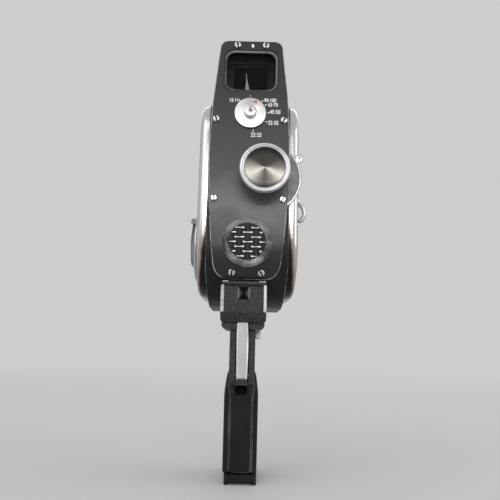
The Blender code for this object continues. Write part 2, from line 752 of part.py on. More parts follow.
def build_plate():
    """The bent front plate and its openings."""
    blank = prism(plate_outline(), "Y", PLATE_Y - OVER, CURVE_Y - OVER)
    plate = node("front_plate", blank, "plate_enamel")
    side = FRAME_HALF + OVER
    combine(plate, prism(plate_section(0.0), "X", -side, side), "INTERSECT")
    cut(plate, prism(plate_section(-PLATE_T), "X", -side - OVER, side + OVER))
    span = (PLATE_Y - OVER, CURVE_Y)
    window = box_outline(-WINDOW_HALF, WINDOW_HALF, WINDOW_LOW_Z, WINDOW_HIGH_Z, WINDOW_RADIUS)
    holes = [
        prism(window, "Y", *span),
        rod("Y", (0.0, DIAL_Z), DIAL_STEM_R + RUN, *span),
        rod("Y", (LENS_X, LENS_Z), LENS_HOLE_R, *span, 28),
        rod("Y", (0.0, CELL_Z), SLEEVE_R + RUN, *span, 28),
    ]
    for half, z in zip(SCREW_HALVES, SCREW_HEIGHTS):
        for x in (-half, half):
            hole = rod("Y", (0.0, 0.0), SCREW_SHANK_R + RUN, -PLATE_T, 2.0 * PLATE_T, 8)
            hole.transform(screw_frame(x, z))
            holes.append(hole)
    cut(plate, merged(*holes))
    return plate


def build_screws():
    """Eight domed screws, each square to the plate where it sits."""
    number = 0
    for half, z in zip(SCREW_HALVES, SCREW_HEIGHTS):
        for x in (-half, half):
            number += 1
            profile = [(0.0, -GAP - SCREW_H), (SCREW_R * 0.6, -GAP - SCREW_H * 0.86)]
            profile += [(SCREW_R * 0.92, -GAP - SCREW_H * 0.45), (SCREW_R, -GAP)]
            profile += [(SCREW_SHANK_R, -GAP), (SCREW_SHANK_R, PLATE_T * 0.8), (0.0, PLATE_T * 0.8)]
            bm = turned(profile, "Y", (0.0, 0.0), 10)
            bm.transform(screw_frame(x, z))
            node("plate_screw_" + str(number), bm, "chrome", (x, plate_surface(z)[0], z))


def build_cover(name, skin_name, side, holes):
    """A chrome-rimmed pan for one side, its recess and the skin in it."""
    def span(near, far):
        return sorted((side * near, side * far))

    shell = prism(side_outline(0.0), "X", *span(COVER_IN_X, COVER_OUT_X))
    cover = node(name, soften_rim(shell, "X", side * COVER_OUT_X, COVER_EDGE), "chrome")
    through = span(COVER_IN_X - OVER, SKIN_OUT_X + OVER)
    bores = [rod("X", (y, z), radius + RUN, *through) for y, z, radius in holes]
    cut(
        cover,
        prism(inner_outline(COVER_RIM), "X", *span(COVER_IN_X - OVER, POCKET_X)),
        prism(side_outline(SKIN_MARGIN), "X", *span(COVER_OUT_X - SKIN_RECESS, COVER_OUT_X + OVER)),
        merged(*bores),
    )
    sheet = prism(side_outline(SKIN_MARGIN + GAP), "X", *span(SKIN_LOW_X, SKIN_OUT_X))
    skin = node(skin_name, sheet, "leatherette")
    bores = [rod("X", (y, z), radius + RUN, *through) for y, z, radius in holes]
    cut(skin, merged(*bores))
    return cover


def build_viewfinder():
    """Housing on top of the casting, its window and its eyepiece."""
    section = rounded([
        (-HOUSING_LOW_HALF, HOUSING_LOW_Z, 0.0), (HOUSING_LOW_HALF, HOUSING_LOW_Z, 0.0),
        (HOUSING_TOP_HALF, HOUSING_TOP_Z, HOUSING_RADIUS),
        (-HOUSING_TOP_HALF, HOUSING_TOP_Z, HOUSING_RADIUS),
    ])
    shell = prism(section, "Y", FRAME_FRONT_Y, HOUSING_BACK_Y)
    shell = soften_rim(shell, "Y", HOUSING_BACK_Y, HOUSING_EDGE)
    housing = node("viewfinder_housing", shell, "black_casting")
    shoulder = (COVER_FRONT_Y + COVER_RADIUS, HOUSING_BACK_Y - HOUSING_EDGE)
    join(housing, box(-FRAME_HALF, FRAME_HALF, *shoulder, HOUSING_LOW_Z, COVER_TOP_Z - SHOULDER_DROP))
    cavity = box_outline(-WINDOW_HALF, WINDOW_HALF, WINDOW_LOW_Z, WINDOW_HIGH_Z, WINDOW_RADIUS)
    cavity_end = FRAME_FRONT_Y + FRONT_CAVITY
    tunnel = box_outline(-TUNNEL_HALF, TUNNEL_HALF, TUNNEL_LOW_Z, TUNNEL_HIGH_Z, TUNNEL_RADIUS)
    tunnel_end = HOUSING_BACK_Y - EYE_WALL
    swing = NEEDLE_SWING + RUN
    cut(
        housing,
        prism(cavity, "Y", FRAME_FRONT_Y - OVER, cavity_end),
        prism(tunnel, "Y", cavity_end - OVER, tunnel_end),
        rod("Y", (0.0, eye_height()), EYE_GLASS_R, tunnel_end - OVER, HOUSING_BACK_Y + OVER),
        box(NEEDLE_X - swing, NEEDLE_X + swing, NEEDLE_Y - NEEDLE_ROOM, NEEDLE_Y + NEEDLE_ROOM,
            HOUSING_LOW_Z - OVER, WINDOW_LOW_Z + OVER),
    )
    half = WINDOW_HALF - GAP
    pane = box_outline(-half, half, WINDOW_LOW_Z + GAP, WINDOW_HIGH_Z - GAP, WINDOW_RADIUS - GAP)
    pane_y = FRAME_FRONT_Y + GAP
    node("viewfinder_glass", prism(pane, "Y", pane_y, pane_y + GLASS_T), "glass")
    near = HOUSING_BACK_Y + GAP
    far = near + EYE_L
    lip = EYE_GLASS_R - EYE_LIP
    seat = near + EYE_LIP
    profile = [(lip, near), (EYE_R, near), (EYE_R, far - 1.0), (EYE_R - 1.0, far)]
    profile += [(EYE_GLASS_R + GAP, far), (EYE_GLASS_R + GAP, seat), (lip, seat)]
    node("eyepiece_ring", turned(profile, "Y", (0.0, eye_height()), 20), "lens_black")
    seat += GAP
    profile = [(0.0, seat), (EYE_GLASS_R, seat), (EYE_GLASS_R, seat + EYE_GLASS_T * 0.6)]
    profile += [(EYE_GLASS_R * 0.6, seat + EYE_GLASS_T * 0.9), (0.0, seat + EYE_GLASS_T)]
    node("eyepiece_lens", turned(profile, "Y", (0.0, eye_height()), 18), "glass")


def eye_height():
    """Height of the viewfinder's axis."""
    return (TUNNEL_LOW_Z + TUNNEL_HIGH_Z) / 2.0


def build_meter():
    """Light cell, its bezel and grid, the movement, needle and film-speed dial."""
    front = PLATE_Y - CELL_PROUD
    bore = SLEEVE_R - 2.0 * BITE
    profile = [(bore, front), (CELL_R - CELL_EDGE, front), (CELL_R, front + CELL_EDGE)]
    profile += [(CELL_R, SLEEVE_END_Y + OVER), (bore, SLEEVE_END_Y + OVER)]
    bezel = node("cell_bezel", turned(profile, "Y", (0.0, CELL_Z), 32), "lens_black")
    cut(bezel, prism(plate_section(GAP), "X", -CELL_R - OVER, CELL_R + OVER))
    lip = front + CELL_LIP
    sleeve = [(CELL_OPEN_R, lip), (SLEEVE_R, lip), (SLEEVE_R, SLEEVE_END_Y), (CELL_OPEN_R, SLEEVE_END_Y)]
    join(bezel, turned(sleeve, "Y", (0.0, CELL_Z), 32))
    grid_y = PLATE_Y - CELL_PROUD / 2.0
    grid_r = CELL_OPEN_R - GAP
    grid = node("cell_grid", rod("Y", (0.0, CELL_Z), grid_r, grid_y, grid_y + GRID_T, 28), "plastic")
    bars = []
    for row in range(-3, 4):
        for column in range(-2, 3):
            x = GRID_PITCH[0] * (column + (0.5 if row % 2 else 0.0))
            z = CELL_Z + GRID_PITCH[1] * row
            if math.hypot(abs(x) + GRID_BAR[0] / 2.0, z - CELL_Z) < grid_r - 0.4:
                bars.append(box(x - GRID_BAR[0] / 2.0, x + GRID_BAR[0] / 2.0, grid_y - GRID_BAR[2],
                                grid_y + 0.4, z - GRID_BAR[1] / 2.0, z + GRID_BAR[1] / 2.0))
    join(grid, merged(*bars))
    cell_y = grid_y + GRID_T + GAP
    node("selenium_cell", rod("Y", (0.0, CELL_Z), grid_r, cell_y, cell_y + CELL_PLATE_T, 24), "selenium")

    meter_back = METER_FRONT_Y + METER_L
    profile = [(0.0, METER_FRONT_Y), (METER_R - 0.8, METER_FRONT_Y), (METER_R, METER_FRONT_Y + 0.8)]
    profile += [(METER_R, meter_back), (0.0, meter_back)]
    node("meter_movement", turned(profile, "Y", (NEEDLE_X, NEEDLE_Z), 18), "plastic")
    pivot = (NEEDLE_X, NEEDLE_Y, NEEDLE_Z)
    blade = [(NEEDLE_X - NEEDLE_ROOT_HALF, NEEDLE_Z), (NEEDLE_X + NEEDLE_ROOT_HALF, NEEDLE_Z)]
    blade += [(NEEDLE_X + NEEDLE_TIP_HALF, NEEDLE_TIP_Z), (NEEDLE_X - NEEDLE_TIP_HALF, NEEDLE_TIP_Z)]
    low = NEEDLE_Y - NEEDLE_T / 2.0
    needle = node("exposure_needle", prism(blade, "Y", low, low + NEEDLE_T), "needle_paint", pivot)
    join(needle, rod("Y", pivot[::2], NEEDLE_HUB_R, low - 0.2, low + NEEDLE_T + 0.2, 16),
         rod("Y", pivot[::2], NEEDLE_HUB_R / 2.0, low + 0.1, METER_FRONT_Y - RUN, 12))

    face = PLATE_Y - RUN
    profile = [(0.0, face - DIAL_T - DIAL_HUB_H), (DIAL_HUB_R - 0.5, face - DIAL_T - DIAL_HUB_H)]
    profile += [(DIAL_HUB_R, face - DIAL_T - DIAL_HUB_H + 0.5), (DIAL_HUB_R, face - DIAL_T)]
    profile += [(DIAL_R - 0.4, face - DIAL_T), (DIAL_R, face - DIAL_T + 0.4), (DIAL_R, face)]
    profile += [(DIAL_STEM_R, face), (DIAL_STEM_R, PLATE_Y + DIAL_STEM_L), (0.0, PLATE_Y + DIAL_STEM_L)]
    node("film_speed_dial", turned(profile, "Y", (0.0, DIAL_Z), 28), "aluminium", (0.0, PLATE_Y, DIAL_Z))


def build_lens():
    """Lens barrel, glasses, cap and the aperture ring behind the plate."""
    axis = (LENS_X, LENS_Z)
    pivot = (LENS_X, PLATE_Y, LENS_Z)
    front = PLATE_Y - BARREL_FRONT
    base = PLATE_Y - GAP
    seat = front + FRONT_GLASS_T + 2.0
    rear_seat = BARREL_REAR_Y - REAR_GLASS_T - 1.0
    profile = [(FRONT_GLASS_R + GAP, front), (BARREL_R - 0.5, front), (BARREL_R, front + 0.5)]
    profile += [(BARREL_R, base - BARREL_BASE_H), (BARREL_BASE_R, base - BARREL_BASE_H + 0.6)]
    profile += [(BARREL_BASE_R, base), (BARREL_NECK_R, base), (BARREL_NECK_R, CHAMBER_FRONT_Y)]
    profile += [(BARREL_REAR_R, CHAMBER_FRONT_Y), (BARREL_REAR_R, BARREL_REAR_Y)]
    profile += [(REAR_GLASS_R + GAP, BARREL_REAR_Y), (REAR_GLASS_R + GAP, rear_seat)]
    profile += [(BARREL_BORE_R, rear_seat), (BARREL_BORE_R, seat), (FRONT_GLASS_R + GAP, seat)]
    node("lens_barrel", turned(profile, "Y", axis, 24), "lens_black")
    back = seat - GAP
    profile = [(0.0, back - FRONT_GLASS_T), (FRONT_GLASS_R * 0.6, back - FRONT_GLASS_T * 0.88)]
    profile += [(FRONT_GLASS_R, back - FRONT_GLASS_T * 0.5), (FRONT_GLASS_R, back), (0.0, back)]
    node("lens_front_glass", turned(profile, "Y", axis, 20), "glass")
    near = rear_seat + GAP
    profile = [(0.0, near), (REAR_GLASS_R, near), (REAR_GLASS_R, near + REAR_GLASS_T * 0.6)]
    profile += [(REAR_GLASS_R * 0.6, near + REAR_GLASS_T * 0.9), (0.0, near + REAR_GLASS_T)]
    node("lens_rear_glass", turned(profile, "Y", axis, 18), "glass")

    face = PLATE_Y - CAP_FRONT
    floor = face + INLAY_T + GAP
    bore = BARREL_R + RUN
    sleeve = bore + CAP_SLEEVE
    profile = [(0.0, floor), (INLAY_R + GAP, floor), (INLAY_R + GAP, face), (CAP_R - 0.9, face)]
    profile += [(CAP_R, face + 0.9), (CAP_R, face + CAP_RIM_T), (sleeve, face + CAP_RIM_T)]
    profile += [(sleeve, face + CAP_DEPTH), (bore, face + CAP_DEPTH)]
    profile += [(bore, floor + CAP_WALL), (0.0, floor + CAP_WALL)]
    node("lens_cap", turned(profile, "Y", axis, 36), "aluminium", pivot)
    inlay = rod("Y", axis, INLAY_R, floor - GAP / 3.0 - INLAY_T, floor - GAP / 3.0, 36)
    node("lens_cap_inlay", inlay, "spun_inlay", pivot)

    profile = [(LENS_HOLE_R + RUN, RING_FRONT_Y), (RING_R - 0.4, RING_FRONT_Y)]
    profile.append((RING_R, RING_FRONT_Y + 0.4))
    profile += [(RING_R, RING_BACK_Y), (LENS_HOLE_R + RUN, RING_BACK_Y)]
    ring = node("aperture_ring", turned(profile, "Y", axis, 40), "lens_black", pivot)
    low = RING_FRONT_Y + (RING_T - TAB_T) / 2.0
    tab = box(RING_R - 2.0, RING_R + TAB_REACH, low, low + TAB_T, -TAB_W / 2.0, TAB_W / 2.0)
    tab.transform(Matrix.Translation((LENS_X, 0.0, LENS_Z)) @ Matrix.Rotation(-TAB_ANGLE, 4, "Y"))
    join(ring, tab)


def build_film_path():
    """Gate, claw, pressure plate and the two spools."""
    left = WEB_FILM_X + GAP
    outline = box_outline(left, left + GATE_W, GATE_LOW_Z, GATE_HIGH_Z, 2.0)
    gate = node("film_gate", prism(outline, "Y", GATE_Y, GATE_Y + GATE_T), "steel")
    slot = CLAW_W / 2.0 + RUN
    stroke = CLAW_TRAVEL + 1.0
    cut(
        gate,
        box(LENS_X - APERTURE[0] / 2.0, LENS_X + APERTURE[0] / 2.0, GATE_Y - 2.0, GATE_Y + GATE_T + 2.0,
            LENS_Z - APERTURE[1] / 2.0, LENS_Z + APERTURE[1] / 2.0),
        box(CLAW_X - slot, CLAW_X + slot, GATE_Y - 2.0, GATE_Y + GATE_T + 2.0,
            LENS_Z - stroke - 0.6, LENS_Z + stroke + 0.6),
    )
    claw_back = GATE_Y - RUN
    claw = box(CLAW_X - CLAW_W / 2.0, CLAW_X + CLAW_W / 2.0, claw_back - 2.4, claw_back,
               LENS_Z - CLAW_L, LENS_Z + 2.0)
    claw = node("film_claw", claw, "steel", (CLAW_X, GATE_Y, LENS_Z))
    join(claw, box(CLAW_X - CLAW_W / 2.0, CLAW_X + CLAW_W / 2.0, claw_back - 1.0, GATE_Y + GATE_T,
                   LENS_Z - 0.6, LENS_Z + 0.6))
    near = GATE_Y + GATE_T + FILM_GAP
    outline = box_outline(left + 0.7, left + 0.7 + PRESSURE_W, LENS_Z - PRESSURE_H / 2.0,
                          LENS_Z + PRESSURE_H / 2.0, 2.0)
    node("pressure_plate", prism(outline, "Y", near, near + PRESSURE_T), "steel", (LENS_X, near, LENS_Z))
    for name, z in (("feed_spool", FEED_Z), ("takeup_spool", TAKEUP_Z)):
        bore = SPINDLE_R + RUN
        profile = [(bore, SPOOL_LOW_X), (SPOOL_R, SPOOL_LOW_X), (SPOOL_R, SPOOL_LOW_X + FLANGE_T)]
        profile += [(SPOOL_CORE_R, SPOOL_LOW_X + FLANGE_T), (SPOOL_CORE_R, SPOOL_HIGH_X - FLANGE_T)]
        profile += [(SPOOL_R, SPOOL_HIGH_X - FLANGE_T), (SPOOL_R, SPOOL_HIGH_X), (bore, SPOOL_HIGH_X)]
        middle = (SPOOL_LOW_X + SPOOL_HIGH_X) / 2.0
        node(name, turned(profile, "X", (SPOOL_Y, z), 24), "spool_paint", (middle, SPOOL_Y, z))


def build_motor():
    """Spring barrel, gears, governor, shutter and the plate that carries them."""
    wind = (WIND_Y, WIND_Z)
    drive = (DRIVE_Y, DRIVE_Z)
    governor = (GOVERNOR_Y, GOVERNOR_Z)
    towards = math.atan2(DRIVE_Z - WIND_Z, DRIVE_Y - WIND_Y)
    gear = gear_outline(*wind, BARREL_TEETH, DRIVE_MODULE, towards)
    pivot = (BARREL_GEAR_X, *wind)
    barrel = node("spring_barrel", prism(gear, "X", BARREL_GEAR_X, BARREL_GEAR_END_X), "brass", pivot)
    wall = [(DRUM_R - DRUM_WALL, DRUM_END_X), (DRUM_R, DRUM_END_X), (DRUM_R, BARREL_GEAR_X + 0.2)]
    wall += [(DRUM_R - DRUM_WALL, BARREL_GEAR_X + 0.2)]
    join(barrel, turned(wall, "X", wind, 28))
    cut(barrel, rod("X", wind, ARBOR_R + RUN, BARREL_GEAR_X - OVER, BARREL_GEAR_END_X + OVER))
    node("mainspring", spiral(), "spring_steel", pivot)
    arbor = rod("X", wind, ARBOR_R, WINDER_IN_X + GAP, WEB_X - RUN)
    node("winding_arbor", arbor, "steel", pivot)

    half_gap = math.pi / DRIVE_TEETH
    pinion = gear_outline(*drive, DRIVE_TEETH, DRIVE_MODULE, towards + math.pi + half_gap)
    wheel = gear_outline(*drive, SPUR_TEETH, SPUR_MODULE, GOVERNOR_TURN)
    pivot = (SPUR_X, *drive)
    gears = node("drive_gear", prism(wheel, "X", SPUR_X, SPUR_X + SPUR_T), "brass", pivot)
    crown = []
    for tooth in range(CROWN_TEETH):
        block = box(SPUR_X + SPUR_T - 0.3, CROWN_TIP_X, CROWN_IN_R, CROWN_R - 1.2, -0.55, 0.55)
        turn = Matrix.Rotation(2.0 * math.pi * tooth / CROWN_TEETH, 4, "X")
        block.transform(Matrix.Translation((0.0, *drive)) @ turn)
        crown.append(block)
    join(gears, prism(pinion, "X", BARREL_GEAR_X - 0.2, SPUR_X + 0.2),
         rod("X", drive, SHAFT_R, -FRAME_HALF + RUN, WEB_X - RUN), merged(*crown))

    pinion = gear_outline(*governor, GOVERNOR_TEETH, SPUR_MODULE,
                          GOVERNOR_TURN + math.pi + math.pi / GOVERNOR_TEETH)
    pivot = (SPUR_X, *governor)
    spinner = node("governor", prism(pinion, "X", SPUR_X, SPUR_X + SPUR_T), "steel", pivot)
    drum_high = BARREL_GEAR_X - 1.0
    profile = [(0.0, drum_high - GOVERNOR_L), (GOVERNOR_R, drum_high - GOVERNOR_L + 1.0)]
    profile += [(GOVERNOR_R, drum_high - 1.0), (0.0, drum_high)]
    join(spinner, turned(profile, "X", governor, 16),
         rod("X", governor, SHAFT_R, -FRAME_HALF + RUN, WEB_X - RUN))

    axis = (SHUTTER_X, DRIVE_Z)
    pivot = (SHUTTER_X, SHUTTER_Y, DRIVE_Z)
    disc = rod("Y", axis, SHUTTER_R, SHUTTER_Y, SHUTTER_Y + SHUTTER_T, 28)
    shutter = node("shutter", disc, "lens_black", pivot)
    reach = 2.0 * SHUTTER_R
    wedge = [(SHUTTER_X, DRIVE_Z)]
    for step in range(9):
        turn = math.radians(35.0) - SHUTTER_OPEN * step / 8.0 + SHUTTER_OPEN
        wedge.append((SHUTTER_X + reach * math.cos(turn), DRIVE_Z + reach * math.sin(turn)))
    cut(shutter, prism(wedge, "Y", SHUTTER_Y - 2.0, SHUTTER_Y + SHUTTER_T + 2.0))
    pinion = gear_outline(*axis, SHUTTER_TEETH, SHUTTER_PINION_R / (SHUTTER_TEETH / 2.0 + 0.6), 0.0)
    pinion_y = DRIVE_Y - CROWN_R + 1.2
    join(shutter, rod("Y", axis, SHUTTER_HUB_R, SHUTTER_Y - 0.4, SHUTTER_Y + SHUTTER_T + 0.4, 14),
         rod("Y", axis, SHAFT_R, SHUTTER_Y - 0.6, DRIVE_Y - CROWN_IN_R + 0.5, 10),
         prism(pinion, "Y", pinion_y, DRIVE_Y - CROWN_IN_R))

    bridge = prism(inner_outline(COVER_RIM + GAP), "X", BRIDGE_OUT_X, -COVER_IN_X)
    bridge = node("mechanism_plate", bridge, "steel")
    through = (BRIDGE_OUT_X - OVER, -COVER_IN_X + OVER)
    cut(bridge, merged(rod("X", wind, ARBOR_R + RUN, *through),
                       rod("X", (SPEED_Y, SPEED_Z), SPEED_STEM_R + RUN, *through)))


def spiral():
    """The mainspring's ribbon, wound from the arbor out to the drum's wall."""
    outer = DRUM_R - DRUM_WALL - 2.0 * GAP - SPRING_T
    count = SPRING_TURNS * 12
    inside = []
    outside = []
    for step in range(count + 1):
        turn = 2.0 * math.pi * SPRING_TURNS * step / count
        radius = SPRING_IN_R + (outer - SPRING_IN_R) * step / count
        for points, r in ((inside, radius), (outside, radius + SPRING_T)):
            points.append((WIND_Y + r * math.cos(turn), WIND_Z + r * math.sin(turn)))
    return prism(inside + outside[::-1], "X", DRUM_END_X + GAP, BARREL_GEAR_X - GAP)


def build_winder():
    """Winding disc with its folding crank, and the speed dial beside it."""
    wind = (WIND_Y, WIND_Z)
    pivot = (WINDER_IN_X, *wind)
    rim_x = WINDER_IN_X - WINDER_RIM_T
    profile = [(0.0, WINDER_IN_X), (WINDER_R, WINDER_IN_X), (WINDER_R, rim_x + 0.8)]
    profile += [(WINDER_R - 0.8, rim_x), (CRANK_HINGE_R - 3.0, rim_x)]
    profile += [(CRANK_HINGE_R - 4.4, WINDER_OUT_X), (0.0, WINDER_OUT_X)]
    disc = node("winding_disc", turned(profile, "X", wind, 36), "chrome", pivot)
    for side in (-1.0, 1.0):
        inner = WIND_Y + side * (CRANK_W / 2.0 + RUN)
        y = sorted((inner, inner + side * EAR_T))
        join(disc, box(CRANK_AXIS_X - 1.2, rim_x + BITE, *y, CRANK_AXIS_Z - 1.8, CRANK_AXIS_Z + 1.8))
    end_z = CRANK_AXIS_Z - CRANK_REACH
    middle_z = WIND_Z - 2.0
    out_x = CRANK_IN_X - CRANK_T
    bow = [(CRANK_IN_X, end_z), (CRANK_IN_X, CRANK_AXIS_Z), (CRANK_AXIS_X, CRANK_AXIS_Z + CRANK_T / 2.0)]
    bow += [(out_x, CRANK_AXIS_Z), (out_x - CRANK_BOW * 0.8, middle_z + 10.0)]
    bow.append((out_x - CRANK_BOW, middle_z))
    bow += [(out_x - CRANK_BOW * 0.6, end_z)]
    arm = prism(bow, "Y", WIND_Y - CRANK_W / 2.0, WIND_Y + CRANK_W / 2.0)
    node("crank_arm", arm, "chrome", (CRANK_AXIS_X, WIND_Y, CRANK_AXIS_Z))
    centre = (SPEED_Y, SPEED_Z)
    low = -(SKIN_OUT_X + RUN)
    face = low - SPEED_T
    profile = [(0.0, -COVER_IN_X), (SPEED_STEM_R, -COVER_IN_X), (SPEED_STEM_R, low)]
    profile += [(SPEED_R, low), (SPEED_R, face + 0.6), (SPEED_R - 0.6, face), (0.0, face)]
    node("speed_dial", turned(profile, "X", centre, 24), "aluminium", (low, *centre))


def build_lock():
    """Turning lock in the film door, with its standing bail."""
    centre = (LOCK_Y, LOCK_Z)
    pivot = (LOCK_IN_X, *centre)
    cam_high = POCKET_X - RUN
    disc = rod("X", centre, LOCK_R, LOCK_IN_X, LOCK_OUT_X, 28)
    lock = node("door_lock", disc, "chrome", pivot)
    join(lock, rod("X", centre, LOCK_STEM_R, cam_high - LOCK_CAM[2] + 0.2, LOCK_IN_X + 0.2),
         prism(box_outline(LOCK_Y - LOCK_CAM[1] / 2.0, LOCK_Y + LOCK_CAM[1] / 2.0,
                           LOCK_Z - LOCK_CAM[0] / 2.0, LOCK_Z + LOCK_CAM[0] / 2.0, 1.5),
               "X", cam_high - LOCK_CAM[2], cam_high))
    for side in (-1.0, 1.0):
        inner = LOCK_Z + side * (BAIL_HALF + BAIL_WIRE_R + RUN)
        z = sorted((inner, inner + side * BAIL_EAR_T))
        join(lock, box(LOCK_OUT_X - 0.3, BAIL_X + 0.8, LOCK_Y - 1.6, LOCK_Y + 1.6, *z))
    points = []
    for step in range(11):
        turn = math.pi * (step / 10.0 - 0.5)
        points.append((BAIL_X + BAIL_REACH * math.cos(turn), LOCK_Y, LOCK_Z + BAIL_HALF * math.sin(turn)))
    node("lock_bail", wire(points, BAIL_WIRE_R, 2), "chrome", (BAIL_X, LOCK_Y, LOCK_Z))


def build_release():
    """Release button in the casting's curved foot."""
    axis = (GRIP_X, BUTTON_Z)
    rear = BUTTON_FRONT_Y + BUTTON_L
    profile = [(0.0, BUTTON_FRONT_Y), (BUTTON_R - 0.5, BUTTON_FRONT_Y), (BUTTON_R, BUTTON_FRONT_Y + 0.5)]
    profile += [(BUTTON_R, rear), (0.0, rear)]
    node("release_button", turned(profile, "Y", axis, 20), "steel", (GRIP_X, BUTTON_FRONT_Y, BUTTON_Z))


def build_grip():
    """Head block, handle, side panels, foot and the long bolt."""
    radius = FRAME_CURVE + GAP
    outline = [(HEAD_FRONT_Y, HEAD_FACE_LOW_Z), (HEAD_FRONT_Y, HEAD_TOP_Z - HEAD_BEVEL)]
    outline.append((HEAD_FRONT_Y + HEAD_BEVEL, HEAD_TOP_Z))
    start = math.asin((CURVE_Z - HEAD_TOP_Z) / radius)
    for step in range(9):
        turn = start + (math.pi / 2.0 - start) * step / 8.0
        outline.append((CURVE_Y - radius * math.cos(turn), CURVE_Z - radius * math.sin(turn)))
    outline += [(HEAD_BACK_Y, SADDLE_Z), (HEAD_BACK_Y, HEAD_LOW_Z)]
    outline.append((HEAD_FRONT_Y + HEAD_CHAMFER, HEAD_LOW_Z))
    block = prism(outline, "X", GRIP_X - HEAD_HALF, GRIP_X + HEAD_HALF)
    head = node("grip_head", block, "crinkle_paint")
    slot = TRIGGER_HALF + RUN
    wide, waist, tall, deep = HOURGLASS
    recess = [(-wide, tall), (wide, tall), (waist, 0.0), (wide, -tall), (-wide, -tall), (-waist, 0.0)]
    recess = [(GRIP_X + x, HOURGLASS_Z + z) for x, z in recess]
    cut(
        head,
        box(GRIP_X - slot, GRIP_X + slot, HEAD_FRONT_Y + HEAD_WALL, BUTTON_SEAT_Y + BUTTON_TRAVEL,
            HEAD_LOW_Z - OVER, BUTTON_Z + NOSE_HALF_H + SLOT_HEADROOM),
        rod("Z", (GRIP_X, BOLT_Y), BOLT_R + RUN, HEAD_LOW_Z - OVER, SADDLE_Z + OVER),
        prism(recess, "Y", HEAD_FRONT_Y - OVER, HEAD_FRONT_Y + deep),
    )

    handle = [
        (NECK_FRONT_Y, COLLAR_LOW_Z + 0.4, 0.0), (NECK_FRONT_Y, LEDGE_Z, 2.0),
        (LOWER_FRONT_Y - 1.0, LEDGE_Z - LEDGE_H / 2.0, 1.5), (LOWER_FRONT_Y, LEDGE_Z - LEDGE_H, 0.0),
        (LOWER_FOOT_Y, GRIP_FOOT_Z, 0.0), (GRIP_BACK_Y, GRIP_FOOT_Z, 0.0),
        (GRIP_BACK_Y, COLLAR_LOW_Z + 0.4, 0.0),
    ]
    stem = prism(rounded(handle, 3), "X", GRIP_X - NECK_HALF, GRIP_X + NECK_HALF)
    grip = node("grip_frame", stem, "crinkle_paint")
    collar = rounded([
        (GRIP_X - COLLAR_HALF, COLLAR_TOP_Z, 0.0), (GRIP_X - COLLAR_HALF, COLLAR_LOW_Z, 2.4),
        (GRIP_X + COLLAR_HALF, COLLAR_LOW_Z, 2.4), (GRIP_X + COLLAR_HALF, COLLAR_TOP_Z, 0.0),
    ], 3)
    join(grip, prism(collar, "Y", COLLAR_FRONT_Y, HEAD_BACK_Y))
    reach = NECK_HALF + OVER
    cut(
        grip,
        box(GRIP_X - slot, GRIP_X + slot, COLLAR_FRONT_Y - OVER, TRIGGER_SLOT_BACK_Y,
            TRIGGER_FOOT_Z - TRIGGER_UNDERCUT, COLLAR_TOP_Z + OVER),
        rod("X", (TRIGGER_Y, TRIGGER_Z), PIN_R + GAP, GRIP_X - reach, GRIP_X + reach, 14),
        rod("X", (LOCK_LEVER_Y, LOCK_LEVER_Z), LOCK_LEVER_STEM_R + RUN, GRIP_X, GRIP_X + reach, 14),
        rod("Z", (GRIP_X, BOLT_Y), BOLT_R + RUN, GRIP_FOOT_Z - OVER, COLLAR_TOP_Z + OVER),
    )

    for name, side in (("grip_panel_left", -1.0), ("grip_panel_right", 1.0)):
        edge = PANEL_MARGIN
        outline = rounded([
            (LOWER_FOOT_Y + edge, GRIP_FOOT_Z + edge / 2.0, PANEL_EDGE),
            (GRIP_BACK_Y - edge, GRIP_FOOT_Z + edge / 2.0, PANEL_EDGE),
            (GRIP_BACK_Y - edge, PANEL_TOP_Z, PANEL_RADIUS),
            (LOWER_FRONT_Y + edge, PANEL_TOP_Z, PANEL_RADIUS),
            (LOWER_FRONT_Y + edge, LEDGE_Z - LEDGE_H, 0.0),
        ], 5)
        x = sorted((GRIP_X + side * PANEL_IN_X, GRIP_X + side * PANEL_OUT_X))
        panel = soften_rim(prism(outline, "X", *x), "X", GRIP_X + side * PANEL_OUT_X, PANEL_EDGE)
        node(name, panel, "plastic")

    base = box_outline(FOOT_X - FOOT_HALF, FOOT_X + FOOT_HALF, FOOT_FRONT_Y, FOOT_BACK_Y, FOOT_RADIUS)
    foot = node("grip_foot", prism(base, "Z", 0.0, FOOT_H), "plastic")
    cut(foot, rod("Z", (GRIP_X, BOLT_Y), KNOB_R + RUN, -OVER, FOOT_H + OVER, 20))
    profile = [(0.0, KNOB_RECESS), (KNOB_R - 0.6, KNOB_RECESS), (KNOB_R, KNOB_RECESS + 0.6)]
    profile += [(KNOB_R, KNOB_RECESS + KNOB_H), (BOLT_R, KNOB_RECESS + KNOB_H)]
    profile += [(BOLT_R, BOLT_TOP_Z), (0.0, BOLT_TOP_Z)]
    node("grip_bolt", turned(profile, "Z", (GRIP_X, BOLT_Y), 18), "steel", (GRIP_X, BOLT_Y, KNOB_RECESS))


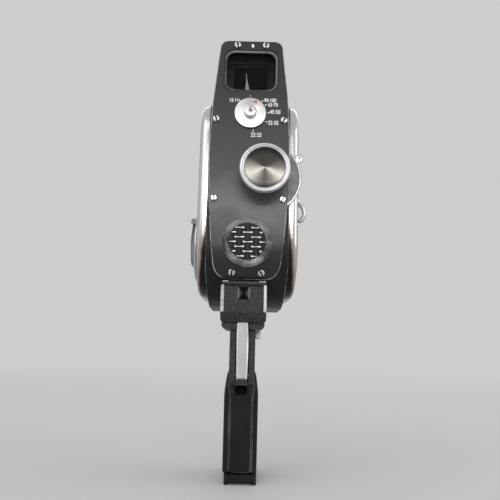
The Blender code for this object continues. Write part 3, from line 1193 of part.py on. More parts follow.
def build_trigger():
    """Trigger with its hidden tongue, its pin and spring, and the lock lever."""
    pivot = (GRIP_X, TRIGGER_Y, TRIGGER_Z)
    top = BUTTON_Z + NOSE_HALF_H
    bar = [(TRIGGER_FOOT_Y, TRIGGER_FOOT_Z), (TRIGGER_TOP_Y, COLLAR_TOP_Z)]
    bar += [(TRIGGER_TOP_Y + TRIGGER_T, COLLAR_TOP_Z), (TRIGGER_FOOT_Y + TRIGGER_T, TRIGGER_FOOT_Z)]
    blade = prism(bar, "X", GRIP_X - TRIGGER_HALF, GRIP_X + TRIGGER_HALF)
    trigger = node("trigger", blade, "trigger_metal", pivot)
    tongue = [(TRIGGER_TOP_Y + 0.4, COLLAR_TOP_Z - 1.0), (TRIGGER_TOP_Y + 0.4, top), (NOSE_Y, top)]
    tongue_y = TRIGGER_TOP_Y + TRIGGER_T - 0.4
    tongue += [(NOSE_Y, BUTTON_Z - NOSE_HALF_H), (tongue_y, BUTTON_Z - NOSE_HALF_H - 2.0)]
    tongue.append((tongue_y, COLLAR_TOP_Z - 1.0))
    lug = [(TRIGGER_FOOT_Y + 1.0, TRIGGER_Z - TRIGGER_EYE_R + 0.6), (TRIGGER_Y, TRIGGER_Z - TRIGGER_EYE_R)]
    lug += [(TRIGGER_Y + TRIGGER_EYE_R, TRIGGER_Z), (TRIGGER_Y, TRIGGER_Z + TRIGGER_EYE_R)]
    lug += [(TRIGGER_FOOT_Y + 1.0, TRIGGER_Z + TRIGGER_EYE_R + 4.0)]
    low, high = TRIGGER_LUG
    join(trigger, prism(tongue, "X", GRIP_X - TONGUE_HALF, GRIP_X + TONGUE_HALF),
         prism(lug, "X", GRIP_X + low, GRIP_X + high))
    reach = NECK_HALF + OVER
    cut(trigger, rod("X", (TRIGGER_Y, TRIGGER_Z), PIN_R + RUN, GRIP_X - reach, GRIP_X + reach, 14))
    pin = rod("X", (TRIGGER_Y, TRIGGER_Z), PIN_R, GRIP_X - NECK_HALF + GAP, GRIP_X + NECK_HALF - GAP, 14)
    node("trigger_pin", pin, "steel")
    points = []
    start = GRIP_X + high + RUN + COIL_WIRE_R
    length = TRIGGER_HALF - high - 2.0 * RUN - 2.0 * COIL_WIRE_R
    for step in range(COIL_TURNS * 10 + 1):
        turn = 2.0 * math.pi * step / 10.0
        points.append((start + length * step / (COIL_TURNS * 10.0), TRIGGER_Y + COIL_R * math.cos(turn),
                       TRIGGER_Z + COIL_R * math.sin(turn)))
    node("trigger_spring", wire(points, COIL_WIRE_R, 1), "spring_steel")

    centre = (LOCK_LEVER_Y, LOCK_LEVER_Z)
    half = LOCK_LEVER_H / 2.0
    outline = box_outline(LOCK_LEVER_Y - half, LOCK_LEVER_Y + LOCK_LEVER_L, LOCK_LEVER_Z - half,
                          LOCK_LEVER_Z + half, half * 0.8)
    inner = GRIP_X + NECK_HALF + RUN
    lever = prism(outline, "X", inner, inner + LOCK_LEVER_T)
    lever = node("lock_lever", lever, "trigger_metal", (inner, *centre))
    join(lever, rod("X", centre, LOCK_LEVER_STEM_R, GRIP_X + TRIGGER_HALF + 3.0 * RUN, inner + 0.2, 14))


def main():
    for old in list(bpy.data.objects):
        bpy.data.objects.remove(old)
    build_frame()
    build_plate()
    build_screws()
    shafts = [(WIND_Y, WIND_Z, ARBOR_R), (SPEED_Y, SPEED_Z, SPEED_STEM_R)]
    build_cover("mechanism_cover", "mechanism_skin", -1.0, shafts)
    build_cover("film_door", "door_skin", 1.0, [(LOCK_Y, LOCK_Z, LOCK_STEM_R)])
    build_viewfinder()
    build_meter()
    build_lens()
    build_film_path()
    build_motor()
    build_winder()
    build_lock()
    build_release()
    build_grip()
    build_trigger()


main()
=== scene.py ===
# %% [markdown]
# # A spring-wound cine camera on a pistol grip
# The solid model comes first: it holds every size, joint and clearance. This lesson dresses it.
# Each step takes one piece of the camera, models what the solid leaves plain, and gives it the
# finish the real metal, paint or leather cloth has. X runs to the film door, Y runs from the lens
# to the back, and Z runs up from the foot of the grip. Blender counts in metres. The sizes of the
# pieces are written in millimetres, and MM turns one into the other.

# %% Load the solid model
import json
import math

import bmesh
import bpy
from mathutils import Matrix, Vector

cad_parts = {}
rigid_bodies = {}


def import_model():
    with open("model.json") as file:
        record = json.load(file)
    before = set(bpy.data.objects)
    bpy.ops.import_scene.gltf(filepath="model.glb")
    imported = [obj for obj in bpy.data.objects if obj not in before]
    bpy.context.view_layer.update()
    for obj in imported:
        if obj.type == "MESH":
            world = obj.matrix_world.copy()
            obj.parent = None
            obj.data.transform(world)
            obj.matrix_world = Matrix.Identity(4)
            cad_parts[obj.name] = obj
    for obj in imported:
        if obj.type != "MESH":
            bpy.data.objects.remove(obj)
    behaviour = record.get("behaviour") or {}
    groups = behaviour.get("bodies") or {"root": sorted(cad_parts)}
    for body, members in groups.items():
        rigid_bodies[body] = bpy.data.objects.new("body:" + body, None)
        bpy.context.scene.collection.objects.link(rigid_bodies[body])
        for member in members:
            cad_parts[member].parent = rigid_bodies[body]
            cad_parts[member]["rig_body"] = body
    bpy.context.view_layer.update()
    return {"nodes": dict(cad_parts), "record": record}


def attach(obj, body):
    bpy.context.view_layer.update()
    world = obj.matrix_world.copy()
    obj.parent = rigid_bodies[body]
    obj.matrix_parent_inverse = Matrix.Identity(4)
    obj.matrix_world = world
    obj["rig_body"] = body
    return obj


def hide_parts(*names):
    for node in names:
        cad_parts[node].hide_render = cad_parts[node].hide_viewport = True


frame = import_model()
nodes = frame["nodes"]
MM = 0.001
FORWARD = (math.pi / 2, 0, 0)   # turns what lies flat to face the front
AXES = {"X": Vector((1, 0, 0)), "Y": Vector((0, 1, 0)), "Z": Vector((0, 0, 1))}

# %% [markdown]
# ## The view
# The camera stands a little under the middle of the object and looks up at it, so the front
# plate leans away and the pistol grip comes forward. A fixed matrix holds that view: its columns
# are the right, up and backward directions and the place of the lens.

# %% The view
SENSOR = 36.0
FOCAL_PIXELS, PICTURE_PIXELS = 536.0, 500.0
RIGHT = (0.99964436, -0.01286232, 0.02336057)
UP = (-0.02523251, -0.17272264, 0.98464725)
BACK = (-0.00862995, -0.98488652, -0.17298576)
EYE_PLACE = (-0.00089674, -0.340, 0.07912843)

bpy.ops.object.camera_add()
eye = bpy.context.active_object
eye.name = "eye"
eye.data.sensor_width = SENSOR
eye.data.lens = SENSOR * FOCAL_PIXELS / PICTURE_PIXELS
eye.data.clip_start = 0.01
turned = Matrix((RIGHT, UP, BACK)).transposed().to_4x4()
eye.matrix_world = Matrix.Translation(EYE_PLACE) @ turned
bpy.context.scene.camera = eye
bpy.context.scene.view_settings.view_transform = "Standard"
print("view: lens", round(eye.data.lens, 1), "mm")

# %% [markdown]
# ## Floor and studio
# A product photographer stands the camera on a pale sheet under soft boxes. The floor is one wide
# sheet whose far part fades into the colour of the surroundings, so no horizon shows. What the
# lens, the metal and the glass see is that same pale colour, while the light that falls on the
# paint comes from a dimmer sky and from the soft boxes. Shading is built from nodes, so two small
# helpers make a node and feed its inputs.

# %% Nodes
def plug(tree, node, *sources, **values):
    """Feed a node: sources to its inputs in order, values to the inputs of that name."""
    pairs = list(zip(node.inputs, sources))
    pairs += [(node.inputs[name.replace("_", " ")], value) for name, value in values.items()]
    for socket, value in pairs:
        if isinstance(value, bpy.types.NodeSocket):
            tree.links.new(value, socket)
        else:
            socket.default_value = value


def node_in(tree, kind, *sources, operation=None, **values):
    """A new node of the kind, set to an operation if it has one, and fed."""
    made = tree.nodes.new("ShaderNode" + kind)
    if operation:
        made.operation = operation
    plug(tree, made, *sources, **values)
    return made


# %% Floor
PALE = (0.62, 0.615, 0.605, 1.0)
FLOOR_WIDTH, FADE_START, FADE_END = 12.0, 0.25, 1.6

bpy.ops.object.select_all(action="DESELECT")
bpy.ops.mesh.primitive_plane_add(size=FLOOR_WIDTH)
floor = bpy.context.active_object
floor.name = "floor"
sheet = bpy.data.materials.new("pale_sheet")
sheet.use_nodes = True
tree = sheet.node_tree
paper = tree.nodes["Principled BSDF"]
plug(tree, paper, Base_Color=PALE, Roughness=0.9, Specular_IOR_Level=0.1)
where = node_in(tree, "TexCoord").outputs["Object"]
reach = node_in(tree, "VectorMath", where, operation="LENGTH").outputs["Value"]
fade = node_in(tree, "MapRange", Value=reach, From_Min=FADE_START, From_Max=FADE_END)
fade.interpolation_type = "SMOOTHSTEP"
far = node_in(tree, "Emission", Color=PALE).outputs["Emission"]
both = node_in(tree, "MixShader", fade.outputs["Result"], paper.outputs["BSDF"], far)
plug(tree, tree.nodes["Material Output"], Surface=both.outputs["Shader"])
floor.data.materials.append(sheet)
print("floor:", FLOOR_WIDTH, "m wide")

# %% Sky and soft boxes
studio = bpy.data.worlds.new("studio")
bpy.context.scene.world = studio
studio.use_nodes = True
tree = studio.node_tree
sky = tree.nodes["Background"]
plug(tree, sky, Color=(0.95, 0.97, 1.0, 1.0), Strength=0.62)
seen = node_in(tree, "Background", Color=PALE, Strength=1.0)
rays = node_in(tree, "LightPath").outputs
looking = rays["Is Camera Ray"]
for ray in ("Is Glossy Ray", "Is Transmission Ray"):
    looking = node_in(tree, "Math", looking, rays[ray], operation="MAXIMUM").outputs["Value"]
choice = node_in(tree, "MixShader", looking, sky.outputs["Background"], seen.outputs["Background"])
plug(tree, tree.nodes["World Output"], Surface=choice.outputs["Shader"])


def soft_box(name, place, aim, size, power):
    """A rectangular soft box at the place, turned to a height above the foot."""
    way = Vector((0.0, 0.0, aim)) - Vector(place)
    bpy.ops.object.light_add(type="AREA", location=place,
                             rotation=way.to_track_quat("-Z", "Y").to_euler())
    lamp = bpy.context.active_object
    lamp.name = name
    lamp.data.shape = "RECTANGLE"
    lamp.data.size, lamp.data.size_y = size
    lamp.data.energy = power


soft_box("key", (-0.80, -0.95, 1.10), 0.16, (1.5, 1.5), 6.2)
soft_box("front", (0.10, -1.70, 0.60), 0.17, (1.2, 0.16), 6.2)
soft_box("side", (1.2, -0.2, 0.60), 0.15, (0.9, 0.9), 3.2)
soft_box("behind", (0.1, 1.2, 0.9), 0.15, (1.0, 0.7), 3.2)

# %% [markdown]
# ## Tools of the trade
# Operators act on whatever is selected, so each step starts by picking one piece alone. Inside a
# piece, faces, edges or points are picked by a test on their place in millimetres. What is picked
# is then rounded, moved, cut across or sunk.

# %% Picking pieces
def metres(place):
    """A place or a size in millimetres, in metres."""
    return [c * MM for c in place]


def clear_picks():
    """Leave edit mode and select nothing."""
    if bpy.context.mode != "OBJECT":
        bpy.ops.object.mode_set(mode="OBJECT")
    bpy.ops.object.select_all(action="DESELECT")


def alone(piece):
    """Select one piece and nothing else."""
    clear_picks()
    piece.select_set(True)
    bpy.context.view_layer.objects.active = piece


def named(name):
    """Name the piece that was just added."""
    piece = bpy.context.active_object
    piece.name = piece.data.name = name
    return piece


def copied(piece, name):
    """A copy of the piece with a mesh of its own."""
    alone(piece)
    bpy.ops.object.duplicate()
    return named(name)


def drop(piece):
    """Delete a pattern or a tool that has done its work."""
    alone(piece)
    bpy.ops.object.delete()


def joined(name, parts):
    """Join parts into one piece."""
    clear_picks()
    for part in parts:
        part.select_set(True)
    bpy.context.view_layer.objects.active = parts[0]
    bpy.ops.object.join()
    return named(name)


def settle(piece, smooth=35.0):
    """Put the piece's place into its mesh and shade its round parts smooth."""
    alone(piece)
    bpy.ops.object.transform_apply(location=True, rotation=True, scale=True)
    bpy.ops.object.shade_smooth_by_angle(angle=math.radians(smooth))


# %% Picking inside a piece
def pick(piece, kind, test):
    """Into edit mode with only those faces, edges or points picked whose middle passes."""
    alone(piece)
    bpy.ops.object.mode_set(mode="EDIT")
    bpy.ops.mesh.select_mode(type=kind)
    bpy.ops.mesh.select_all(action="DESELECT")
    bm = bmesh.from_edit_mesh(piece.data)
    count = 0
    for part in {"VERT": bm.verts, "EDGE": bm.edges, "FACE": bm.faces}[kind]:
        points = [part.co] if kind == "VERT" else [vert.co for vert in part.verts]
        middle = piece.matrix_world @ (sum(points, Vector()) / len(points))
        if test(middle / MM, part):
            part.select_set(True)
            count += 1
    bm.select_flush_mode()
    bmesh.update_edit_mesh(piece.data)
    return count


def out_of_edit():
    bpy.ops.object.mode_set(mode="OBJECT")


def anywhere(middle, part):
    return True


def close(a, b, within=0.02):
    return abs(a - b) < within


def level_in(edge, axis, within=0.02):
    """Whether both ends of an edge lie equally far along an axis."""
    first, second = (vert.co["XYZ".index(axis)] / MM for vert in edge.verts)
    return close(first, second, within)


def at_x(edge, x):
    """Whether both ends of an edge lie at one x."""
    return all(close(vert.co.x / MM, x) for vert in edge.verts)


# %% Shaping what is picked
def rounded(piece, width, test, segments=3, coat=-1):
    """Round the edges that pass the test, with the finish of that number."""
    count = pick(piece, "EDGE", test)
    bpy.ops.mesh.bevel(offset=width * MM, segments=segments, profile=0.5, affect="EDGES",
                       material=coat)
    out_of_edit()
    return count


def worn_edges(piece, width, test, segments=3):
    """Round the sharp edges that pass the test and give them the second finish."""
    def sharp(middle, edge):
        return edge.calc_face_angle(0.0) > 0.4 and test(middle, edge)

    print(piece.name, "worn edges:", rounded(piece, width, sharp, segments, 1))


def nudge(piece, test, by=(0, 0, 0), stretch=None, centre=(0, 0, 0)):
    """Stretch the points that pass the test about a centre, then move them."""
    pick(piece, "VERT", test)
    if stretch:
        bpy.ops.transform.resize(value=stretch, center_override=metres(centre))
    if any(by):
        bpy.ops.transform.translate(value=metres(by))
    out_of_edit()


def sliced(piece, axis, places):
    """Cut all faces of a piece across an axis at each place."""
    for place in places:
        pick(piece, "FACE", anywhere)
        bpy.ops.mesh.bisect(plane_co=AXES[axis] * place * MM, plane_no=AXES[axis])
        out_of_edit()


def nudge_levels(piece, low, high, places, test, change):
    """Nudge a piece level by level between two heights: change(level) says how."""
    heights = [vert.co.z / MM for vert in piece.data.vertices]
    within = 0.5 * 10.0 ** -places + 0.0001
    for level in sorted({round(height, places) for height in heights if low < height < high}):
        nudge(piece, lambda middle, vert: close(middle.z, level, within) and test(middle),
              **change(level))


def sunk(piece, test, margin, by):
    """Inset the faces that pass the test and push them in."""
    pick(piece, "FACE", test)
    bpy.ops.mesh.inset(thickness=margin * MM)
    bpy.ops.mesh.extrude_region_move(TRANSFORM_OT_translate={"value": metres(by)})
    out_of_edit()


def cut(piece, tool, operation="DIFFERENCE"):
    """Cut a tool out of the piece (or keep only what is inside it), then drop the tool."""
    alone(piece)
    hole = piece.modifiers.new("cut", "BOOLEAN")
    hole.operation = operation
    hole.solver = "EXACT"
    hole.object = tool
    if tool.data.materials:
        hole.material_mode = "TRANSFER"
    bpy.ops.object.modifier_apply(modifier=hole.name)
    drop(tool)
    alone(piece)


# %% [markdown]
# Three ways of starting a piece come back again and again. A round piece is turned, as on a lathe:
# one point is drawn out along the profile and spun. A flat one is a slab with rounded corners. A
# piece whose solid is already right is dressed: the solid is copied, its triangles are merged into
# whole faces, and its sharp edges are rounded so that they catch the light as real edges do.

# %% Turning
def turn(name, profile, middle, axis="Y", steps=96):
    """Spin a profile of (radius, distance along the axis) round an axis."""
    middle = Vector(middle) * MM
    points = [middle + AXES["Z"] * r * MM + AXES[axis] * a * MM for r, a in profile]
    clear_picks()
    bpy.ops.mesh.primitive_plane_add(size=MM, location=points[0])
    piece = named(name)
    bpy.ops.object.mode_set(mode="EDIT")
    bpy.ops.mesh.select_mode(type="VERT")
    bpy.ops.mesh.select_all(action="SELECT")
    bpy.ops.mesh.merge(type="CENTER")
    for here, there in zip(points, points[1:]):
        bpy.ops.mesh.extrude_region_move(TRANSFORM_OT_translate={"value": there - here})
    bpy.ops.mesh.select_all(action="SELECT")
    bpy.ops.mesh.spin(steps=steps, angle=2.0 * math.pi, center=middle, axis=AXES[axis])
    bpy.ops.mesh.select_all(action="SELECT")
    bpy.ops.mesh.remove_doubles(threshold=0.002 * MM)
    bpy.ops.mesh.normals_make_consistent(inside=False)
    out_of_edit()
    settle(piece)
    return piece


# %% Slabs
def block(name, size, place=(0, 0, 0)):
    """A plain block round a place, both in metres."""
    clear_picks()
    bpy.ops.mesh.primitive_cube_add(size=1.0, location=place)
    piece = named(name)
    piece.scale = size
    bpy.ops.object.transform_apply(location=True, rotation=True, scale=True)
    return piece


def slab(name, low, high, axis, radii, steps=10):
    """A block whose edges along the axis get a radius each, by the corner they stand at."""
    ends = low, high
    low, high = Vector(low) * MM, Vector(high) * MM
    piece = block(name, high - low, (low + high) / 2.0)
    first, second = (i for i in range(3) if "XYZ"[i] != axis)
    for (end, other), radius in radii.items():
        def at_corner(middle, edge):
            return (not level_in(edge, axis) and close(middle[first], ends[end][first])
                    and close(middle[second], ends[other][second]))

        rounded(piece, radius, at_corner, steps)
    return piece


def even_radii(radius):
    return {(a, b): radius for a in (0, 1) for b in (0, 1)}


# %% Dressing a solid
def soft_edges(piece, width, sharper_than=40.0, worn=False, clamp=True):
    """Round every edge that is sharper than an angle."""
    edge = piece.modifiers.new("edge", "BEVEL")
    edge.width, edge.segments = width * MM, 3
    edge.limit_method, edge.angle_limit = "ANGLE", math.radians(sharper_than)
    edge.use_clamp_overlap = clamp
    edge.material = 1 if worn else -1


def apply_modifiers(piece):
    alone(piece)
    for modifier in list(piece.modifiers):
        bpy.ops.object.modifier_apply(modifier=modifier.name)


def dress(node, name, width=0.0, sharper_than=40.0, worn=False, smooth=30.0, clamp=False):
    """Copy a solid, merge its triangles into faces and round its sharp edges."""
    piece = copied(nodes[node], name)
    for key in list(piece.keys()):
        del piece[key]
    bpy.ops.object.mode_set(mode="EDIT")
    bpy.ops.mesh.select_all(action="SELECT")
    bpy.ops.mesh.remove_doubles(threshold=0.002 * MM)
    bpy.ops.mesh.dissolve_limited(angle_limit=math.radians(1.0))
    bpy.ops.mesh.mark_sharp(clear=True)
    bpy.ops.mesh.customdata_custom_splitnormals_clear()
    out_of_edit()
    piece.data.materials.clear()
    for coat in ("face", "edge"):
        piece.data.materials.append(bpy.data.materials.get(coat) or bpy.data.materials.new(coat))
    if width > 0.0:
        soft_edges(piece, width, sharper_than, worn, clamp)
    even = piece.modifiers.new("even", "WEIGHTED_NORMAL")
    even.keep_sharp = True
    bpy.ops.object.shade_smooth_by_angle(angle=math.radians(smooth))
    apply_modifiers(piece)
    return piece


# %% Handing over
def coated(piece, *coats):
    """Give the piece finishes to choose from."""
    for coat in coats:
        piece.data.materials.append(coat)


def coat_faces(piece, index, test):
    """Give the faces that pass the test the finish with that number."""
    pick(piece, "FACE", test)
    piece.active_material_index = index
    bpy.ops.object.material_slot_assign()
    out_of_edit()


def body_of(node):
    return nodes[node]["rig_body"]


def hand_over(piece, finish, body, stands_for=None):
    """Give the piece its finish and its body, and hide the solid it stands for."""
    coats = finish if isinstance(finish, list) else [finish]
    while len(piece.data.materials) < len(coats):
        piece.data.materials.append(coats[0])
    while len(piece.data.materials) > len(coats):
        piece.data.materials.pop()
    for index, coat in enumerate(coats):
        piece.data.materials[index] = coat
    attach(piece, body)
    if stands_for:
        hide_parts(stands_for)
    print(piece.name, "rides", body, "with", len(piece.data.polygons), "faces")


# %% [markdown]
# ## Paint on castings
# The body casting, the viewfinder housing and the grip are black, but no two blacks are alike.
# Stove enamel on the front plate is satin with a cool sheen, the castings are a little rougher,
# and the head of the grip is crinkle paint that dried in tiny wrinkles. All of them are built
# from noise on the piece's own coordinates: broad noise for uneven tone, fine noise for texture.
# The plate's enamel also carries a painted sheen: a band below its middle is painted a paler
# grey-blue.

# %% Finish helpers
def grey(level, blue=None):
    """A grey, or one with its own amount of blue."""
    return (level, level, level if blue is None else blue)


def new_finish(name, colour, metallic=0.0, roughness=0.4, specular=0.5):
    """A material with plain starting values, its tree and its shader."""
    made = bpy.data.materials.new(name)
    made.use_nodes = True
    tree = made.node_tree
    shader = tree.nodes["Principled BSDF"]
    plug(tree, shader, Base_Color=(*colour, 1.0), Metallic=metallic, Roughness=roughness,
         Specular_IOR_Level=specular)
    return made, tree, shader


def place_in(tree, stretch=(1, 1, 1), centre=(0, 0, 0)):
    """The piece's own coordinates in metres, from a centre in mm, stretched."""
    where = node_in(tree, "TexCoord").outputs["Object"]
    shift = [-c * MM * s for c, s in zip(centre, stretch)]
    return node_in(tree, "Mapping", Vector=where, Location=shift, Scale=stretch).outputs["Vector"]


def noise(tree, scale, detail=3.0, stretch=(1, 1, 1), rough=0.55):
    """Cloudy noise, with the scale in blotches per metre."""
    return node_in(tree, "TexNoise", Vector=place_in(tree, stretch), Scale=scale, Detail=detail,
                   Roughness=rough).outputs["Fac"]


def span(tree, value, low, high, start=0.3, end=0.7):
    """Stretch a value from start..end to low..high."""
    return node_in(tree, "MapRange", Value=value, From_Min=start, From_Max=end, To_Min=low,
                   To_Max=high).outputs["Result"]


def tones(tree, value, *stops):
    """Colours along a value: (position, colour) pairs."""
    made = node_in(tree, "ValToRGB", Fac=value)
    ramp = made.color_ramp
    while len(ramp.elements) < len(stops):
        ramp.elements.new(0.5)
    for element, (position, colour) in zip(ramp.elements, stops):
        element.position = position
        element.color = (*colour, 1.0)
    return made.outputs["Color"]


def added(tree, first, second):
    return node_in(tree, "Math", first, second, operation="ADD").outputs["Value"]


def relief(tree, shader, value, depth, strength=1.0):
    """Raise and sink the surface by a value, depth in mm."""
    bump = node_in(tree, "Bump", Height=value, Strength=strength, Distance=depth * MM)
    plug(tree, shader, Normal=bump.outputs["Normal"])


def paint(name, dark, light, roughness, texture, depth, specular=0.4, uneven=0.06, blotches=55.0):
    """A paint with uneven tone, uneven gloss and a fine raised texture."""
    made, tree, shader = new_finish(name, dark, 0.0, roughness, specular)
    tone = tones(tree, noise(tree, blotches, 4.0), (0.32, dark), (0.68, light))
    gloss = span(tree, noise(tree, 240.0), roughness - uneven, roughness + uneven)
    plug(tree, shader, Base_Color=tone, Roughness=gloss)
    relief(tree, shader, noise(tree, texture, 4.0), depth)
    return made


# %% Black paints
SHEEN_LOW, SHEEN_HIGH = 0.115, 0.260   # heights between which the painted sheen's tones lie

plate_enamel = paint("plate_enamel", grey(0.009, 0.011), (0.016, 0.0165, 0.019), 0.34, 2600.0,
                     0.02, 0.5, 0.025)
tree = plate_enamel.node_tree
# Painted sheen: a paler grey-blue band is painted across the plate by height, where a broad light
# would reflect.
height = node_in(tree, "SeparateXYZ", place_in(tree)).outputs["Z"]
painted_sheen = added(tree, span(tree, height, 0.0, 1.0, SHEEN_LOW, SHEEN_HIGH),
              span(tree, noise(tree, 45.0, 4.0), -0.05, 0.05))
painted_sheen = tones(tree, painted_sheen, (0.05, grey(0.010, 0.012)), (0.15, grey(0.015, 0.018)),
              (0.22, grey(0.050, 0.057)), (0.29, (0.115, 0.114, 0.125)),
              (0.35, grey(0.085, 0.095)), (0.43, grey(0.021, 0.025)), (0.80, grey(0.009, 0.011)))
plug(tree, tree.nodes["Principled BSDF"], Base_Color=painted_sheen)
# Painted shade: a deeper, duller black for slots and hollows, where shade falls.
painted_shade_black = paint("painted_shade_black", grey(0.003), grey(0.006), 0.70, 1500.0, 0.05, 0.1)
black_casting = paint("black_casting", grey(0.006, 0.0065), grey(0.011, 0.012), 0.44, 1800.0,
                      0.05, 0.28)
crinkle_paint = paint("crinkle_paint", grey(0.004, 0.0045), (0.050, 0.047, 0.048), 0.42, 1500.0,
                      0.28, 0.36, blotches=800.0)
lens_black = paint("lens_black", grey(0.006, 0.0065), grey(0.011, 0.012), 0.36, 2600.0, 0.02, 0.35)
moulded_plastic = paint("moulded_plastic", (0.007, 0.006, 0.006), (0.013, 0.011, 0.011), 0.40,
                        1100.0, 0.05, 0.26)
spool_paint = paint("spool_paint", (0.030, 0.031, 0.034), (0.048, 0.049, 0.053), 0.42, 1900.0, 0.03)
print("black paints:", plate_enamel.name, black_casting.name, crinkle_paint.name, lens_black.name)

# %% [markdown]
# Rubbed edges are where black paint first gives way. The dressed pieces carry a second finish on
# their rounded edges: the same black, thinned to grey in irregular spots.

# %% Rubbed edges
def rubbed(name, black, bare, amount, scale=420.0, roughness=0.42):
    """Black paint with paler spots where it has been rubbed thin."""
    made, tree, shader = new_finish(name, black, 0.0, roughness)
    spots = added(tree, noise(tree, scale, 5.0, rough=0.7), noise(tree, 60.0, 2.0))
    edge = 1.0 - amount
    plug(tree, shader, Base_Color=tones(tree, span(tree, spots, 0.0, 1.0, 0.55, 1.45),
                                        (edge - 0.16, black), (edge + 0.16, bare)))
    relief(tree, shader, spots, 0.05)
    return made


plate_edge = rubbed("plate_edge", grey(0.036, 0.039), (0.42, 0.41, 0.40), 0.58)
# Pale spots on the head's edges: rubbed paint and a painted highlight.
head_edge_worn_highlight = rubbed("head_edge_worn_highlight", (0.10, 0.098, 0.10), (0.74, 0.73, 0.74), 0.58, 800.0)
casting_edge = rubbed("casting_edge", grey(0.010, 0.011), grey(0.14, 0.145), 0.45)
handle_edge = rubbed("handle_edge", (0.012, 0.011, 0.012), (0.12, 0.116, 0.118), 0.50, 900.0)
facet_painted_highlight = rubbed("facet_painted_highlight", (0.040, 0.039, 0.040), (0.22, 0.21, 0.215), 0.55, 900.0)
print("rubbed edges:", plate_edge.name, head_edge_worn_highlight.name, casting_edge.name)

# %% [markdown]
# ## Bright metal
# The covers are plated, the dial and cap are spun or turned aluminium, and the trigger is a
# polished pressing. Plating is smooth with faint scratches. Its colour is painted browner and
# darker towards the foot, a painted reflection of a red cloth below, and darker beside the
# casting, a painted shade.

# %% Bright metals
def metal(name, colour, roughness, scratches=0.06, stretch=(1, 1, 6), texture=900.0):
    """A bare metal with faint lengthwise scratches and uneven polish."""
    made, tree, shader = new_finish(name, colour, 1.0, roughness)
    dull = [c * 0.86 for c in colour]
    lines = noise(tree, texture, 4.0, stretch, 0.65)
    plug(tree, shader, Base_Color=tones(tree, noise(tree, 70.0, 4.0), (0.3, dull), (0.7, colour)),
         Roughness=span(tree, lines, roughness - scratches, roughness + scratches))
    relief(tree, shader, lines, 0.01)
    return made


chrome, tree, shader = new_finish("chrome", grey(0.78, 0.79), 1.0, 0.16)
place = node_in(tree, "SeparateXYZ", place_in(tree)).outputs
aside = node_in(tree, "Math", place["X"], operation="ABSOLUTE").outputs["Value"]
# Painted reflection and shade: browner and darker towards the foot, darker beside the casting, with
# random patches.
reflection_and_shade_mask = added(tree, span(tree, place["Z"], 0.0, 1.0, 0.112, 0.165),
               span(tree, noise(tree, 90.0, 4.0), 0.42, 0.58))
reflection_and_shade_mask = added(tree, reflection_and_shade_mask, span(tree, aside, -0.75, 0.0, 0.0243, 0.0285))
painted_reflection_and_shade = tones(tree, span(tree, reflection_and_shade_mask, 0.0, 1.0, 0.35, 1.25), (0.0, (0.028, 0.021, 0.019)),
              (0.10, (0.12, 0.085, 0.07)), (0.32, (0.46, 0.41, 0.37)), (0.75, grey(0.66, 0.67)))
hairlines = noise(tree, 1400.0, 4.0, (1, 0.15, 1), 0.7)
plug(tree, shader, Base_Color=painted_reflection_and_shade, Roughness=span(tree, hairlines, 0.12, 0.30, 0.35, 0.75))
relief(tree, shader, hairlines, 0.004)

screw_metal = metal("screw_metal", grey(0.70, 0.71), 0.20, 0.05)
trigger_metal = metal("trigger_metal", (0.76, 0.77, 0.79), 0.34, 0.07, (6, 1, 0.4), 1200.0)
steel = metal("steel", grey(0.56, 0.57), 0.30)
spring_steel = metal("spring_steel", (0.26, 0.27, 0.31), 0.34)
brass = metal("brass", (0.66, 0.50, 0.23), 0.30)
aluminium = metal("aluminium", (0.72, 0.73, 0.74), 0.33, stretch=(1, 1, 1))
print("bright metals:", chrome.name, screw_metal.name, trigger_metal.name, aluminium.name)

# %% [markdown]
# ## Leather cloth, glass and small finishes
# The sides are covered in black leather cloth: a pebbled grain of rounded cells with creases
# between them. Voronoi cells, bent by a little noise, give pebbles of about a millimetre. The
# window is a clear pane, so it lets most light through and keeps a faint grey veil.

# %% Leather cloth
PEBBLES, PEBBLE_BEND = 820.0, 0.0011

leather_cloth, tree, shader = new_finish("leather_cloth", (0.016, 0.015, 0.015), 0.0, 0.6, 0.4)
here = place_in(tree)
bend = node_in(tree, "TexNoise", Vector=here, Scale=500.0, Detail=2.0).outputs["Color"]
bend = node_in(tree, "VectorMath", bend, operation="SCALE", Scale=PEBBLE_BEND).outputs["Vector"]
bent = node_in(tree, "VectorMath", here, bend, operation="ADD").outputs["Vector"]
pebbles = node_in(tree, "TexVoronoi", Vector=bent, Scale=PEBBLES, Randomness=0.9)
pebbles.feature = "SMOOTH_F1"
away = pebbles.outputs["Distance"]
# The creases between pebbles are painted darker than the pebble tops, a painted shade in the
# creases.
plug(tree, shader, Base_Color=tones(tree, away, (0.10, (0.026, 0.025, 0.025)), (0.60, grey(0.007))),
     Roughness=span(tree, away, 0.42, 0.75, 0.1, 0.6))
upside = node_in(tree, "Math", 1.0, away, operation="SUBTRACT").outputs["Value"]
relief(tree, shader, upside, 0.25, 0.9)
print("leather cloth made")

# %% Glass, selenium and marking paint
clear_glass, tree, shader = new_finish("clear_glass", grey(0.008, 0.009), 0.0, 0.06)
plug(tree, shader, Alpha=0.16, Roughness=span(tree, noise(tree, 120.0, 4.0), 0.03, 0.10))

lens_glass, tree, shader = new_finish("lens_glass", (0.010, 0.012, 0.020), 0.0, 0.04, 0.8)
tone = tones(tree, noise(tree, 90.0, 2.0), (0.3, (0.008, 0.009, 0.016)),
             (0.7, (0.014, 0.017, 0.030)))
plug(tree, shader, Coat_Weight=0.8, Coat_Tint=(0.75, 0.60, 0.95, 1.0), Coat_Roughness=0.03,
     Base_Color=tone, Roughness=span(tree, noise(tree, 200.0), 0.02, 0.08))

